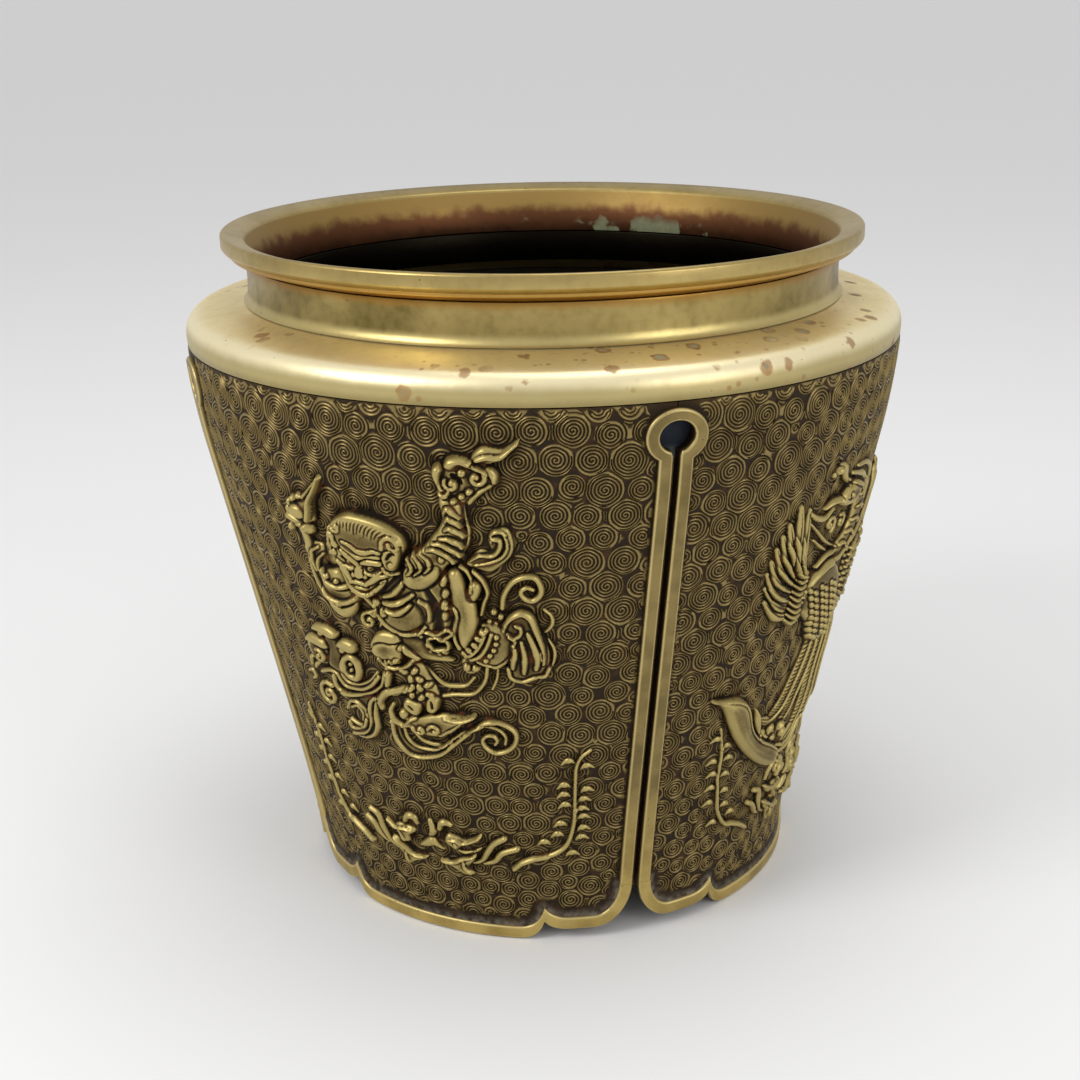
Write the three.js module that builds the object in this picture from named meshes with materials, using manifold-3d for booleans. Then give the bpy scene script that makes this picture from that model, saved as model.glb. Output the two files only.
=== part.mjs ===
// Bronze jardiniere: a tapering round planter with a flat shoulder, a short neck and a rolled mouth.
// Four relief panels stand round an inner vessel, with a keyhole slit between neighbours. Each panel
// has a lobed foot, raised borders, an applied figure and sprays of leaves.
// Millimetres, +Z up, the origin on the floor under the centre. Panels face -Y, +X, +Y and -X.

import * as THREE from 'three';
import { mergeVertices } from 'three/addons/utils/BufferGeometryUtils.js';
import Module from 'manifold-3d';

const wasm = await Module();
wasm.setup();

// Overall sizes
const totalHeight = 243.2;
const shoulderRadius = 130;
const footRadius = 87.45; // of the straight taper, carried down to the floor
const segments = 40; // facets round the axis, shared by every turned piece
const clearance = 0.3; // between two pieces that touch

// Mouth rim, neck and shoulder
const neckRadius = 107.5;
const neckHeight = 13.5;
const neckWall = 5.5;
const neckHollow = 0.4; // of the slightly concave outside
const ledgeWidth = 1; // of the step inside the neck, below the rim's lining
const linerWall = 2.2; // of the part of the rim that lines the neck
const linerDepth = 9; // how far it reaches down to the ledge
const linerTaper = 0.7; // how much wider its bore is at the neck's top
const spigotDepth = 7.5; // of the neck in the shoulder
const spigotWall = 3;
const rimHeight = 10.2;
const rimOverhang = 8.3;
const rimSlope = 2; // fall of the rim's top towards the mouth
const mouthLip = 0.5; // the mouth's edge lies this far outside the neck's face
const shoulderHeight = 14.2;
const shoulderFall = 4; // from the neck to the start of the rounded edge
const shoulderEdge = 4; // reach of the rounded edge
const shoulderBelly = 9.6; // from the neck's foot down to the widest line
const shoulderSkin = 4.5;

// Wall of the body
const flare = 3.25; // how far the foot swings out past the straight taper
const flareHeight = 19.5;
const curl = 0.00204; // how quickly the wall turns upright under the shoulder
const curlHeight = 39.8;
const panelThickness = 3;
const vesselWall = 3;
const vesselFoot = 17; // height of the vessel's foot above the floor
const vesselSeam = 112; // height at which the vessel's two rings meet
const basePlateThickness = 3.5;

// Keyhole slits between the panels
const slitWidth = 2.3;
const keyholeRadius = 5.8;
const keyholeBelowPanelTop = 10.6;
const ringRadius = 10.3;
const legWidth = 4.6;
const legFoot = 22;
const borderHeight = 1.7;

// Lobed foot of a panel
const cuspAngle = 24.93; // from the panel's middle
const lobeRound = 8.6;
const notchHeight = 7.2;
const tipHeight = 14;
const cornerLobeLift = 4;
const cornerReach = 13;
const hemWidth = 5.4;
const hemLift = 0.5; // the hem keeps clear of the floor

// Heights of the applied reliefs over the wall
const lowRelief = 2.4;
const middleRelief = 3.6;
const highRelief = 5.2;

// Heights stacked down from the top
const neckTop = totalHeight - rimHeight;
const neckBase = neckTop - neckHeight;
const shoulderFoot = neckBase - shoulderHeight;
const panelTop = shoulderFoot - clearance;
const shoulderWidest = neckBase - shoulderBelly;
const keyholeHeight = panelTop - keyholeBelowPanelTop;
const ledgeHeight = neckTop - linerDepth;

// The body's taper, and the opened-out cone on which the reliefs are laid out
const curlStart = shoulderWidest - curlHeight;
const slope = (shoulderRadius + curl * curlHeight ** 2 - footRadius) / shoulderWidest;
const coneSine = slope / Math.hypot(1, slope);
const coneCosine = 1 / Math.hypot(1, slope);
const coneReach = footRadius / coneSine; // from the cone's tip to the floor circle

const panels = [
  { side: 'front', turn: 0, figure: 'demon' },
  { side: 'right', turn: 90, figure: 'phoenix' },
  { side: 'back', turn: 180, figure: 'demon' },
  { side: 'left', turn: 270, figure: 'phoenix' },
];

const finishes = {
  polished: { color: 0xd8bd7c, roughness: 0.32, metalness: 1 },
  border: { color: 0xb59a5c, roughness: 0.4, metalness: 1 },
  ground: { color: 0x6b5a3c, roughness: 0.55, metalness: 1 },
  relief: { color: 0x9c8450, roughness: 0.42, metalness: 1 },
  inside: { color: 0x3a2c20, roughness: 0.7, metalness: 1 },
};

// Radius of the body's curved outer face at a height
function curvedRadius(height) {
  const taper = footRadius + slope * height;
  const swing = flare * Math.exp(-height / flareHeight);
  return taper + swing - curl * Math.max(0, height - curlStart) ** 2;
}

// The same face in straight steps between a few folds, so that every skin on it has the same facets
const folds = [-0.01, 0.05, 0.15, 0.8, 0.92, 1.01].map((share) => share * panelTop);
function wallRadius(height) {
  const next = Math.max(1, folds.findIndex((fold) => fold >= height));
  const along = (height - folds[next - 1]) / (folds[next] - folds[next - 1]);
  return THREE.MathUtils.lerp(curvedRadius(folds[next - 1]), curvedRadius(folds[next]), along);
}

// The point at a radius, an angle from the -Y side in radians, and a height
function onAxis(radius, angle, height) {
  return new THREE.Vector3(radius * Math.sin(angle), -radius * Math.cos(angle), height);
}

// A closed geometry as a solid for adding and cutting
function toSolid(geometry) {
  const bare = geometry.clone();
  bare.deleteAttribute('normal');
  bare.deleteAttribute('uv');
  const merged = mergeVertices(bare, 1e-5);
  const mesh = new wasm.Mesh({
    numProp: 3,
    vertProperties: new Float32Array(merged.attributes.position.array),
    triVerts: new Uint32Array(merged.index.array),
  });
  return new wasm.Manifold(mesh);
}

function toGeometry(solid) {
  const mesh = solid.getMesh();
  const geometry = new THREE.BufferGeometry();
  geometry.setAttribute('position', new THREE.BufferAttribute(mesh.vertProperties, 3));
  geometry.setIndex(new THREE.BufferAttribute(mesh.triVerts, 1));
  geometry.computeVertexNormals();
  return geometry;
}

function unite(solids) {
  return solids.reduce((whole, solid) => whole.add(solid));
}

// A ring turned round the axis from a closed outline of [radius, height] corners, outer side upwards
function turned(outline) {
  const points = [...outline, outline[0]].map(([radius, height]) => new THREE.Vector2(radius, height));
  return new THREE.LatheGeometry(points, segments).rotateX(Math.PI / 2);
}

// Heights from bottom to top, with the folds between them
function foldedHeights(bottom, top) {
  return [bottom, ...folds.filter((fold) => fold > bottom && fold < top), top];
}

// A line that follows the wall at a distance outside it
function wallLine(distance, bottom, top) {
  return foldedHeights(bottom, top).map((height) => [wallRadius(height) + distance, height]);
}

// A skin that follows the wall between two distances outside it
function wallLayer(inner, outer, bottom, top) {
  return turned([...wallLine(outer, bottom, top), ...wallLine(inner, bottom, top).reverse()]);
}

// Layout on the opened-out cone: x across and y up the panel, both measured along the wall
function onCone(x, y) {
  const reach = Math.hypot(x, y + coneReach);
  return { angle: Math.atan2(x, y + coneReach) / coneSine, height: (reach - coneReach) * coneCosine };
}

// Layout round the foot: across along the foot's circle, upwards by height
const hemRadius = wallRadius(cornerLobeLift);
function onFoot(across, height) {
  return { angle: across / hemRadius, height };
}

// A closed loop of [x, y] corners as a block that grows straight out through the wall
function wallBlock(corners, place) {
  const places = corners.map(([x, y]) => place(x, y));
  const facing = places.reduce((sum, { angle }) => sum + angle, 0) / places.length;
  const loop = places.map(({ angle, height }) => {
    const across = wallRadius(height) * Math.sin(angle - facing);
    return new THREE.Vector2(across, height);
  });
  const shape = new THREE.Shape(loop);
  const block = new THREE.ExtrudeGeometry(shape, { depth: shoulderRadius, bevelEnabled: false });
  block.translate(0, 0, 0.5 * footRadius).rotateX(Math.PI / 2);
  return toSolid(block.rotateZ(facing));
}

// An outline in the plane that faces the slit at the front panel's right edge, grown outwards
function slitBlock(shape) {
  const settings = { depth: shoulderRadius, bevelEnabled: false, curveSegments: 12 };
  const block = new THREE.ExtrudeGeometry(shape, settings);
  block.translate(0, 0, 0.5 * footRadius);
  return toSolid(block.rotateX(Math.PI / 2)).rotate([0, 0, 45]);
}

// The keyhole outline: a round hole with a straight slot below it, both widened by a margin
function keyholeShape(radius, halfWidth, foot) {
  const meet = Math.asin(halfWidth / radius);
  const shape = new THREE.Shape();
  shape.moveTo(-halfWidth, foot);
  shape.lineTo(halfWidth, foot);
  shape.absarc(0, keyholeHeight, radius, meet - Math.PI / 2, 1.5 * Math.PI - meet, false);
  shape.closePath();
  return shape;
}

// The foot's outline from near the panel's middle to the slit, as points round the foot. lift raises
// the lobes, tip is the height of the cusp, and inset draws the outline in from the slit.
function footOutline(lift, tip, inset) {
  const cusp = THREE.MathUtils.degToRad(cuspAngle) * hemRadius;
  const side = (Math.PI / 4) * hemRadius - slitWidth / 2 - inset;
  const cornerLow = cornerLobeLift + lift;
  const cornerTop = legFoot - clearance;
  const reach = cornerReach - inset;
  const path = new THREE.Path();
  path.moveTo(cusp - lobeRound, lift);
  path.quadraticCurveTo(cusp - 0.2 * lobeRound, lift, cusp, tip);
  path.quadraticCurveTo(cusp + 0.3 * lobeRound, cornerLow, cusp + lobeRound, cornerLow);
  path.lineTo(side - reach, cornerLow);
  path.absellipse(side - reach, cornerTop, reach, cornerTop - cornerLow, -Math.PI / 2, 0);
  return path.getPoints(3).map((point) => point.toArray());
}

// The corners of a ribbon along a smooth line, from one width to another
function ribbon(corners, startWidth, endWidth) {
  const curve = new THREE.SplineCurve(corners.map(([x, y]) => new THREE.Vector2(x, y)));
  const last = corners.length - 1;
  const left = [];
  const right = [];
  for (let i = 0; i <= last; i += 1) {
    const middle = curve.getPoint(i / last);
    const along = curve.getTangent(i / last);
    const half = THREE.MathUtils.lerp(startWidth, endWidth, i / last) / 2;
    left.push([middle.x - along.y * half, middle.y + along.x * half]);
    right.push([middle.x + along.y * half, middle.y - along.x * half]);
  }
  return [...right, ...left.reverse()];
}

// The corners of a leaf or tuft from its foot to its tip, widest at the middle
function leaf([footX, footY], [tipX, tipY], width) {
  const across = new THREE.Vector2(footY - tipY, tipX - footX).setLength(width / 2);
  const middle = new THREE.Vector2(footX + tipX, footY + tipY).divideScalar(2);
  const left = middle.clone().add(across).toArray();
  const right = middle.clone().sub(across).toArray();
  return [[footX, footY], right, [tipX, tipY], left];
}

// Outlines on the cone, joined and cut to a skin that starts just off the panel. The raised outlines
// stand on that skin, each to its own height.
function appliedRelief(low, raised = []) {
  const blocks = (loops) => unite(loops.map((corners) => wallBlock(corners, onCone)));
  const outline = blocks([...low, ...raised.flatMap((level) => level.loops)]);
  const base = toSolid(wallLayer(clearance, lowRelief, 0, panelTop)).intersect(outline);
  const tops = raised.map(({ height, loops }) => {
    const skin = toSolid(wallLayer(lowRelief / 2, height, 0, panelTop));
    return skin.intersect(blocks(loops));
  });
  return unite([base, ...tops]);
}

function mouthRim() {
  const outer = neckRadius + rimOverhang;
  const mouth = neckRadius + mouthLip;
  const bore = neckRadius - neckWall + ledgeWidth;
  const liner = bore + linerWall;
  return turned([
    [liner, neckTop + clearance],
    [neckRadius, neckTop + clearance],
    [neckRadius + 1, neckTop + 0.9],
    [neckRadius + 4.5, neckTop + 3],
    [outer - 0.8, neckTop + 4.4],
    [outer, neckTop + 6],
    [outer, totalHeight - 1],
    [outer - 0.6, totalHeight],
    [mouth, totalHeight - rimSlope],
    [bore + linerTaper, neckTop + clearance],
    [bore, ledgeHeight + clearance],
    [liner, ledgeHeight + clearance],
  ]);
}

function neckCollar() {
  const bore = neckRadius - neckWall;
  const linerSeat = bore + ledgeWidth + linerWall + clearance;
  const spigot = bore + spigotWall;
  return turned([
    [bore, neckBase - spigotDepth],
    [spigot, neckBase - spigotDepth],
    [spigot, neckBase],
    [neckRadius, neckBase],
    [neckRadius - neckHollow, (neckBase + neckTop) / 2],
    [neckRadius, neckTop],
    [linerSeat, neckTop],
    [linerSeat, ledgeHeight],
    [bore, ledgeHeight],
  ]);
}

function shoulderRing() {
  const hole = neckRadius - neckWall + spigotWall + clearance;
  const seat = neckBase - clearance;
  const insideVessel = wallRadius(shoulderFoot) - panelThickness - vesselWall - clearance;
  const slopeEnd = neckBase - shoulderFall;
  return turned([
    [insideVessel, shoulderFoot],
    [wallRadius(shoulderFoot), shoulderFoot],
    [shoulderRadius, shoulderWidest],
    [shoulderRadius - 0.25 * shoulderEdge, slopeEnd - 0.7 * shoulderEdge],
    [shoulderRadius - shoulderEdge, slopeEnd],
    [neckRadius + 1.5, neckBase - 1],
    [neckRadius, seat],
    [hole, seat],
    [hole, seat - shoulderSkin],
    [insideVessel, slopeEnd - shoulderSkin],
  ]);
}

// One ring of the inner vessel's wall
function vesselRing(bottom, top) {
  const outer = -panelThickness - clearance;
  return wallLayer(outer - vesselWall, outer, bottom, top);
}

// The vessel's bottom, a disc on which the lower ring stands
function basePlate() {
  const radius = wallRadius(vesselFoot) - panelThickness - clearance;
  const plate = new THREE.CylinderGeometry(radius, radius, basePlateThickness, segments);
  return plate.rotateX(Math.PI / 2).translate(0, 0, vesselFoot + basePlateThickness / 2);
}

// A block on both sides of the panel's middle, from one on the right side
function bothSides(corners) {
  const right = wallBlock(corners, onFoot);
  const left = wallBlock(corners.map(([across, height]) => [-across, height]).reverse(), onFoot);
  return right.add(left);
}

function reliefPanel() {
  const skin = toSolid(wallLayer(-panelThickness, 0, 0, panelTop));
  const quarter = new THREE.BoxGeometry(shoulderRadius * 2, shoulderRadius * 2, totalHeight);
  quarter.rotateZ(Math.PI / 4).translate(0, -Math.SQRT2 * (shoulderRadius + clearance / 2), totalHeight / 2);
  const outline = footOutline(0, notchHeight, 0);
  const below = -notchHeight;
  const beyond = outline.at(-1)[0] + slitWidth;
  const underLobes = [[outline[0][0], below], [beyond, below], [beyond, legFoot], ...outline.reverse()];
  const slit = slitBlock(keyholeShape(keyholeRadius, slitWidth / 2, below));
  const blank = skin.intersect(toSolid(quarter)).subtract(bothSides(underLobes));
  return toGeometry(blank.subtract(slit).subtract(slit.rotate([0, 0, -90])));
}

function slitFrame() {
  const skin = toSolid(wallLayer(clearance, borderHeight, 0, panelTop));
  const block = slitBlock(keyholeShape(ringRadius, slitWidth / 2 + legWidth, legFoot));
  const hole = slitBlock(keyholeShape(keyholeRadius, slitWidth / 2, legFoot - 1));
  return toGeometry(skin.intersect(block.subtract(hole)));
}

function lowerHem() {
  const outer = [[-clearance, hemLift], ...footOutline(hemLift, notchHeight + hemLift, 0)];
  const inner = [[-clearance, hemWidth], ...footOutline(hemWidth, tipHeight, legWidth)];
  const skin = toSolid(wallLayer(clearance, borderHeight, 0, panelTop));
  return toGeometry(skin.intersect(bothSides([...outer, ...inner.reverse()])));
}

// A leaping thunder demon: broad head, one ringed arm raised, flowing skirts, clouds and a curled scarf
function demonFigure() {
  const head = [[-16, 153], [-15, 164], [-9, 170.5], [4, 170], [11.5, 163], [9, 152], [3, 143.5], [-5, 140.5],
    [-12, 145]];
  const raisedArm = [[7, 147], [10, 157], [20, 163.5], [25.5, 171], [26, 181], [32.5, 181], [34, 168],
    [25, 153], [14, 146]];
  const raisedHand = [[26, 178], [25, 190], [30, 194], [39, 193.5], [52, 197.5], [46, 186.5], [35, 178]];
  const loweredArm = [[-25, 153], [-26, 143], [-21, 133], [-14, 130], [-8, 135], [-8, 145], [-16, 151]];
  const flameHand = [[-25, 147], [-35, 160], [-34, 171], [-27, 173], [-18, 182], [-22, 162], [-20, 150]];
  const chest = [[-8, 143], [8, 149], [22, 151], [22, 130], [9, 126], [0, 131]];
  const skirt = [[19, 150], [28, 156], [36, 150], [38, 139], [34, 125], [23, 122]];
  const nearThigh = [[-7, 119], [-4, 127.5], [13, 129], [23, 132], [24, 124], [8, 113], [0, 112]];
  const nearBoot = [[-1, 113], [12, 118], [13, 104], [27, 96.5], [15, 87.5], [3, 87], [-6, 93], [1, 105]];
  const farThigh = [[22, 122], [30, 131], [39, 133], [44, 124], [33, 116]];
  const drapery = [[38, 127], [41, 136], [49, 138], [55, 116], [42, 110], [39, 116]];
  const cloud = [[-36, 120], [-28, 123], [-16, 120], [-15, 105], [-24, 98], [-12, 97], [-12, 84], [-20, 78],
    [-30, 88], [-41, 88], [-44, 103], [-41, 113]];
  const trailing = [[-26, 100], [-12, 98], [-3, 104], [6, 111]];
  const scarf = [[-3, 94], [-4, 83], [4, 77.5], [16, 83], [27, 92.5], [36, 90], [31, 83]];
  const loop = [[9, 114], [17, 107], [28, 109], [33, 119]];
  const hook = [[42, 134], [43, 146], [50, 150.5], [52, 142]];
  const flying = [[30, 152], [39, 158.5], [45, 166]];
  const low = [
    raisedHand,
    flameHand,
    drapery,
    cloud,
    loweredArm,
    farThigh,
    ribbon(trailing, 4, 5),
    ribbon(scarf, 4.5, 3.5),
    ribbon(loop, 3, 3),
    ribbon(hook, 3.4, 3),
    ribbon(flying, 5, 4),
  ];
  return appliedRelief(low, [
    { height: middleRelief, loops: [raisedArm, chest, skirt, nearBoot] },
    { height: highRelief, loops: [head, nearThigh] },
  ]);
}

// A phoenix with both wings spread, a scaled body and one long sweeping tail plume
function phoenixFigure() {
  const body = [[-31, 130], [-24, 138], [-14, 137], [-4, 128], [4, 112], [-2, 103], [-26, 119]];
  const nearWing = [[-26, 122], [-40, 117], [-50, 123], [-50, 143], [-46, 156], [-39, 161], [-36, 144],
    [-24, 134]];
  const farWing = [[-8, 133], [2, 138], [12, 150], [26, 157], [38, 147], [36, 134], [24, 122], [6, 112]];
  const head = [[-20, 136], [-19, 146], [-8, 157], [-28, 156], [-37, 160], [-20, 165], [-24, 173], [-10, 168],
    [2, 164], [4, 154], [-9, 134]];
  const plume = [[-60, 91], [-48, 91.5], [-38, 81], [-30, 72], [-19, 67], [-12, 58], [-20, 54], [-34, 60],
    [-50, 79]];
  const hind = [[-8, 109], [-15, 97], [-20, 80], [-30, 74]];
  const tail = [[0, 107], [2, 94], [-1, 72], [-14, 60]];
  const hook = [[-12, 60], [-19, 55], [-14, 51], [-6, 53]];
  const low = [head, farWing, ribbon(hind, 6, 6), ribbon(tail, 9, 8), ribbon(hook, 4, 3)];
  return appliedRelief(low, [
    { height: middleRelief, loops: [nearWing, plume] },
    { height: highRelief, loops: [body] },
  ]);
}

// A thin stem that climbs beside the slit, with short leaves in pairs. side is 1 for right, -1 for left.
function leafSpray(side) {
  const stem = [[30.5, 30.5], [36, 33.5], [45, 35.5], [51, 40], [54, 52], [57, 72], [61, 78]];
  const leaves = [
    [[48, 36.5], [44, 45]], [[51.5, 41], [58.5, 43]], [[53, 46], [48, 50]],
    [[54, 54], [60, 57]], [[54.5, 59], [50, 64]], [[56, 69], [63, 72]],
  ];
  const across = ([x, y]) => [side * x, y];
  const stalk = ribbon(stem.map(across), 3.2, 2);
  const tufts = leaves.map(([foot, tip]) => leaf(across(foot), across(tip), 3.8));
  return appliedRelief([stalk, ...tufts]);
}

// The spread of long leaves at the panel's foot, between the two sprays
function leafCluster() {
  const ground = [[-20, 33], [-10, 28.5], [2, 31], [14, 28.5], [26, 33]];
  const leaves = [
    [[-18, 32], [-27, 42]], [[-8, 29], [-16, 45]], [[-3, 30], [-5, 47]], [[3, 31], [4, 47]],
    [[9, 29.5], [20, 45]], [[18, 30], [29, 43]],
  ];
  const tufts = leaves.map(([foot, tip]) => leaf(foot, tip, 4.6));
  return appliedRelief([ribbon(ground, 3, 3), ...tufts]);
}

function addPiece(group, name, geometry, finish) {
  const mesh = new THREE.Mesh(geometry, new THREE.MeshStandardMaterial(finishes[finish]));
  mesh.name = name;
  group.add(mesh);
}

const group = new THREE.Group();
const plateTop = vesselFoot + basePlateThickness;
addPiece(group, 'mouth_rim', mouthRim(), 'polished');
addPiece(group, 'neck_collar', neckCollar(), 'polished');
addPiece(group, 'shoulder_ring', shoulderRing(), 'polished');
addPiece(group, 'lower_vessel', vesselRing(plateTop + clearance, vesselSeam), 'inside');
addPiece(group, 'upper_vessel', vesselRing(vesselSeam + clearance, panelTop), 'inside');
addPiece(group, 'base_plate', basePlate(), 'inside');

const panelGeometry = reliefPanel();
const frameGeometry = slitFrame();
const hemGeometry = lowerHem();
const figures = { demon: toGeometry(demonFigure()), phoenix: toGeometry(phoenixFigure()) };
const sprays = { left: toGeometry(leafSpray(-1)), right: toGeometry(leafSpray(1)) };
const clusterGeometry = toGeometry(leafCluster());

for (const { side, turn, figure } of panels) {
  const quarter = new THREE.Group();
  quarter.rotation.z = THREE.MathUtils.degToRad(turn);
  addPiece(quarter, `relief_panel_${side}`, panelGeometry, 'ground');
  addPiece(quarter, `slit_frame_${side}`, frameGeometry, 'border');
  addPiece(quarter, `lower_hem_${side}`, hemGeometry, 'border');
  addPiece(quarter, `${figure}_figure_${side}`, figures[figure], 'relief');
  addPiece(quarter, `left_spray_${side}`, sprays.left, 'relief');
  addPiece(quarter, `right_spray_${side}`, sprays.right, 'relief');
  addPiece(quarter, `leaf_cluster_${side}`, clusterGeometry, 'relief');
  group.add(quarter);
}

export default group;
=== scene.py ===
"""Looks of a bronze jardiniere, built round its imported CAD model.

Sizes are in millimetres until a mesh is made, and the panels' reliefs are laid out on the wall as it
lies opened out flat: x across a panel from its middle, y up the wall from the floor.
"""

import logging
import math
from dataclasses import dataclass
from enum import Enum
from typing import Callable, Mapping, Sequence

import bmesh
import bpy
import numpy as np
from mathutils import Matrix, Vector
from mathutils.geometry import delaunay_2d_cdt


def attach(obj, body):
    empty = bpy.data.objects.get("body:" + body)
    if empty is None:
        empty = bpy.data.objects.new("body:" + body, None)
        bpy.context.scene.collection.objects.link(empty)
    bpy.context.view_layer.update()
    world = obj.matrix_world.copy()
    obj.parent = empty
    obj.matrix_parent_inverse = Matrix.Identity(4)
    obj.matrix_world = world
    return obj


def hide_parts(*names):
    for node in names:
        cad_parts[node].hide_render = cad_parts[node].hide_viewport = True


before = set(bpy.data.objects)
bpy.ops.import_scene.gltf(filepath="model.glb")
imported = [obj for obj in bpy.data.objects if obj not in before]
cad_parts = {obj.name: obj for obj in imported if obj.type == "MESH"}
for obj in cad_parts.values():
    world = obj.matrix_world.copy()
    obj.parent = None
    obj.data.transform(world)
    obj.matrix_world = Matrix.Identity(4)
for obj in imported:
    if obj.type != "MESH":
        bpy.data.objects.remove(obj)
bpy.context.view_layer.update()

log = logging.getLogger("jardiniere")

MM = 0.001
QUARTER = math.pi / 2
SUNK = -1.2  # how deep the bare field of a relief lies under the wall's face
FALL = 2.6  # steepness of a relief's sides
OFF_FLOOR = 0.02  # how far everything stays over the floor
SPINDLE = (0.6, 1, 0.6)
THINNING = (1, 0.9, 0.4)


class Side(Enum):
    """The four panels, each with the turn from the front in quarters."""

    FRONT = 0
    RIGHT = 1
    BACK = 2
    LEFT = 3

    @property
    def label(self) -> str:
        """The word that the CAD nodes use."""
        return self.name.lower()


def srgb(red: float, green: float, blue: float) -> tuple[float, float, float, float]:
    """Turns a screen colour, each part from 0 to 255, into a linear one with an alpha of 1."""
    linear = [((c / 255 + 0.055) / 1.055) ** 2.4 if c > 10 else c / 255 / 12.92 for c in (red, green, blue)]
    return (linear[0], linear[1], linear[2], 1.0)


@dataclass(frozen=True)
class Wall:
    """The tapering wall of the body and its opened-out layout."""

    foot_radius: float = 87.45
    shoulder_radius: float = 130.0
    widest_height: float = 209.9
    flare: float = 3.25
    flare_height: float = 19.5
    curl: float = 0.00204
    curl_height: float = 39.8
    top: float = 205.0

    @property
    def slope(self) -> float:
        """How much the radius grows for each millimetre of height."""
        grown = self.shoulder_radius + self.curl * self.curl_height**2 - self.foot_radius
        return grown / self.widest_height

    @property
    def sine(self) -> float:
        """Sine of the wall's lean."""
        return self.slope / math.hypot(1, self.slope)

    @property
    def cosine(self) -> float:
        """Cosine of the wall's lean."""
        return 1 / math.hypot(1, self.slope)

    @property
    def reach(self) -> float:
        """Distance from the opened-out cone's tip to the floor circle."""
        return self.foot_radius / self.sine

    @property
    def foot_circle(self) -> float:
        """Radius of the circle along which the lobed foot is laid out."""
        return self.radius(4.0)

    def radius(self, height: float | np.ndarray) -> float | np.ndarray:
        """Radius of the wall's face.

        Args:
            height: One height over the floor, or many.

        Returns:
            The radius at each.
        """
        swing = self.flare * np.exp(-height / self.flare_height)
        turned_up = self.curl * np.maximum(0, height - self.widest_height + self.curl_height) ** 2
        return self.foot_radius + self.slope * height + swing - turned_up

    def closed(self, places: np.ndarray) -> tuple[np.ndarray, np.ndarray]:
        """Finds opened-out places on the body.

        Args:
            places: Rows of across and up.

        Returns:
            Their angles round the axis from the panel's middle, and their heights over the floor.
        """
        across, up = places.T
        distance = np.hypot(across, up + self.reach)
        return np.arctan2(across, up + self.reach) / self.sine, (distance - self.reach) * self.cosine

    def wrapped(self, places: np.ndarray, lift: float | np.ndarray) -> np.ndarray:
        """Wraps opened-out places round the body, the front panel's middle facing -Y.

        Args:
            places: Rows of across and up.
            lift: Distance out from the wall's face, one for all or one for each.

        Returns:
            One row of x, y and z for each place.
        """
        angle, height = self.closed(places)
        radius = self.radius(height) + lift * self.cosine
        return np.column_stack([radius * np.sin(angle), -radius * np.cos(angle), height - lift * self.sine])

    def opened(self, angle: np.ndarray, height: np.ndarray) -> np.ndarray:
        """Lays points of the wall out flat.

        Args:
            angle: Angles round the axis from the panel's middle.
            height: Heights over the floor.

        Returns:
            One row of across and up for each point.
        """
        distance = self.reach + height / self.cosine
        turn = angle * self.sine
        return np.column_stack([distance * np.sin(turn), distance * np.cos(turn) - self.reach])


@dataclass(frozen=True)
class Border:
    """Sizes of the raised borders: the keyhole frames and the lobed hem."""

    slit: float = 2.3
    hole: float = 5.8
    hole_height: float = 194.4
    ring: float = 10.3
    leg: float = 4.6
    leg_foot: float = 21.7
    lift: float = 1.7
    cusp_angle: float = 24.93
    lobe_round: float = 8.6
    notch: float = 7.2
    tip: float = 14.0
    corner_lift: float = 4.0
    corner_reach: float = 13.0
    hem: float = 5.4


WALL = Wall()
BORDER = Border()


class Wire:
    """A socket of a finish, on which Python arithmetic adds Math nodes."""

    def __init__(self, nodes: "Nodes", socket: bpy.types.NodeSocket) -> None:
        """Keeps the socket and the tree it belongs to."""
        self.nodes = nodes
        self.socket = socket

    def _math(self, operation: str, first: object, second: object) -> "Wire":
        """Adds one Math node on two values or wires."""
        return self.nodes.add("ShaderNodeMath", {"operation": operation}, {0: first, 1: second})

    def __add__(self, other: object) -> "Wire":
        """This plus the other."""
        return self._math("ADD", self, other)

    __radd__ = __add__

    def __mul__(self, other: object) -> "Wire":
        """This times the other."""
        return self._math("MULTIPLY", self, other)

    __rmul__ = __mul__

    def __sub__(self, other: object) -> "Wire":
        """This less the other."""
        return self._math("SUBTRACT", self, other)

    def __rsub__(self, other: object) -> "Wire":
        """The other less this."""
        return self._math("SUBTRACT", other, self)

    def step(self, low: float, high: float) -> "Wire":
        """Rises smoothly from 0 to 1 between two values, or falls when low is the larger.

        Args:
            low: Value at which it is 0.
            high: Value at which it is 1.

        Returns:
            The step.
        """
        settings = {"interpolation_type": "SMOOTHSTEP"}
        if low < high:
            return self.nodes.add("ShaderNodeMapRange", settings, {0: self, 1: low, 2: high})
        return 1 - self.nodes.add("ShaderNodeMapRange", settings, {0: self, 1: high, 2: low})


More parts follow.
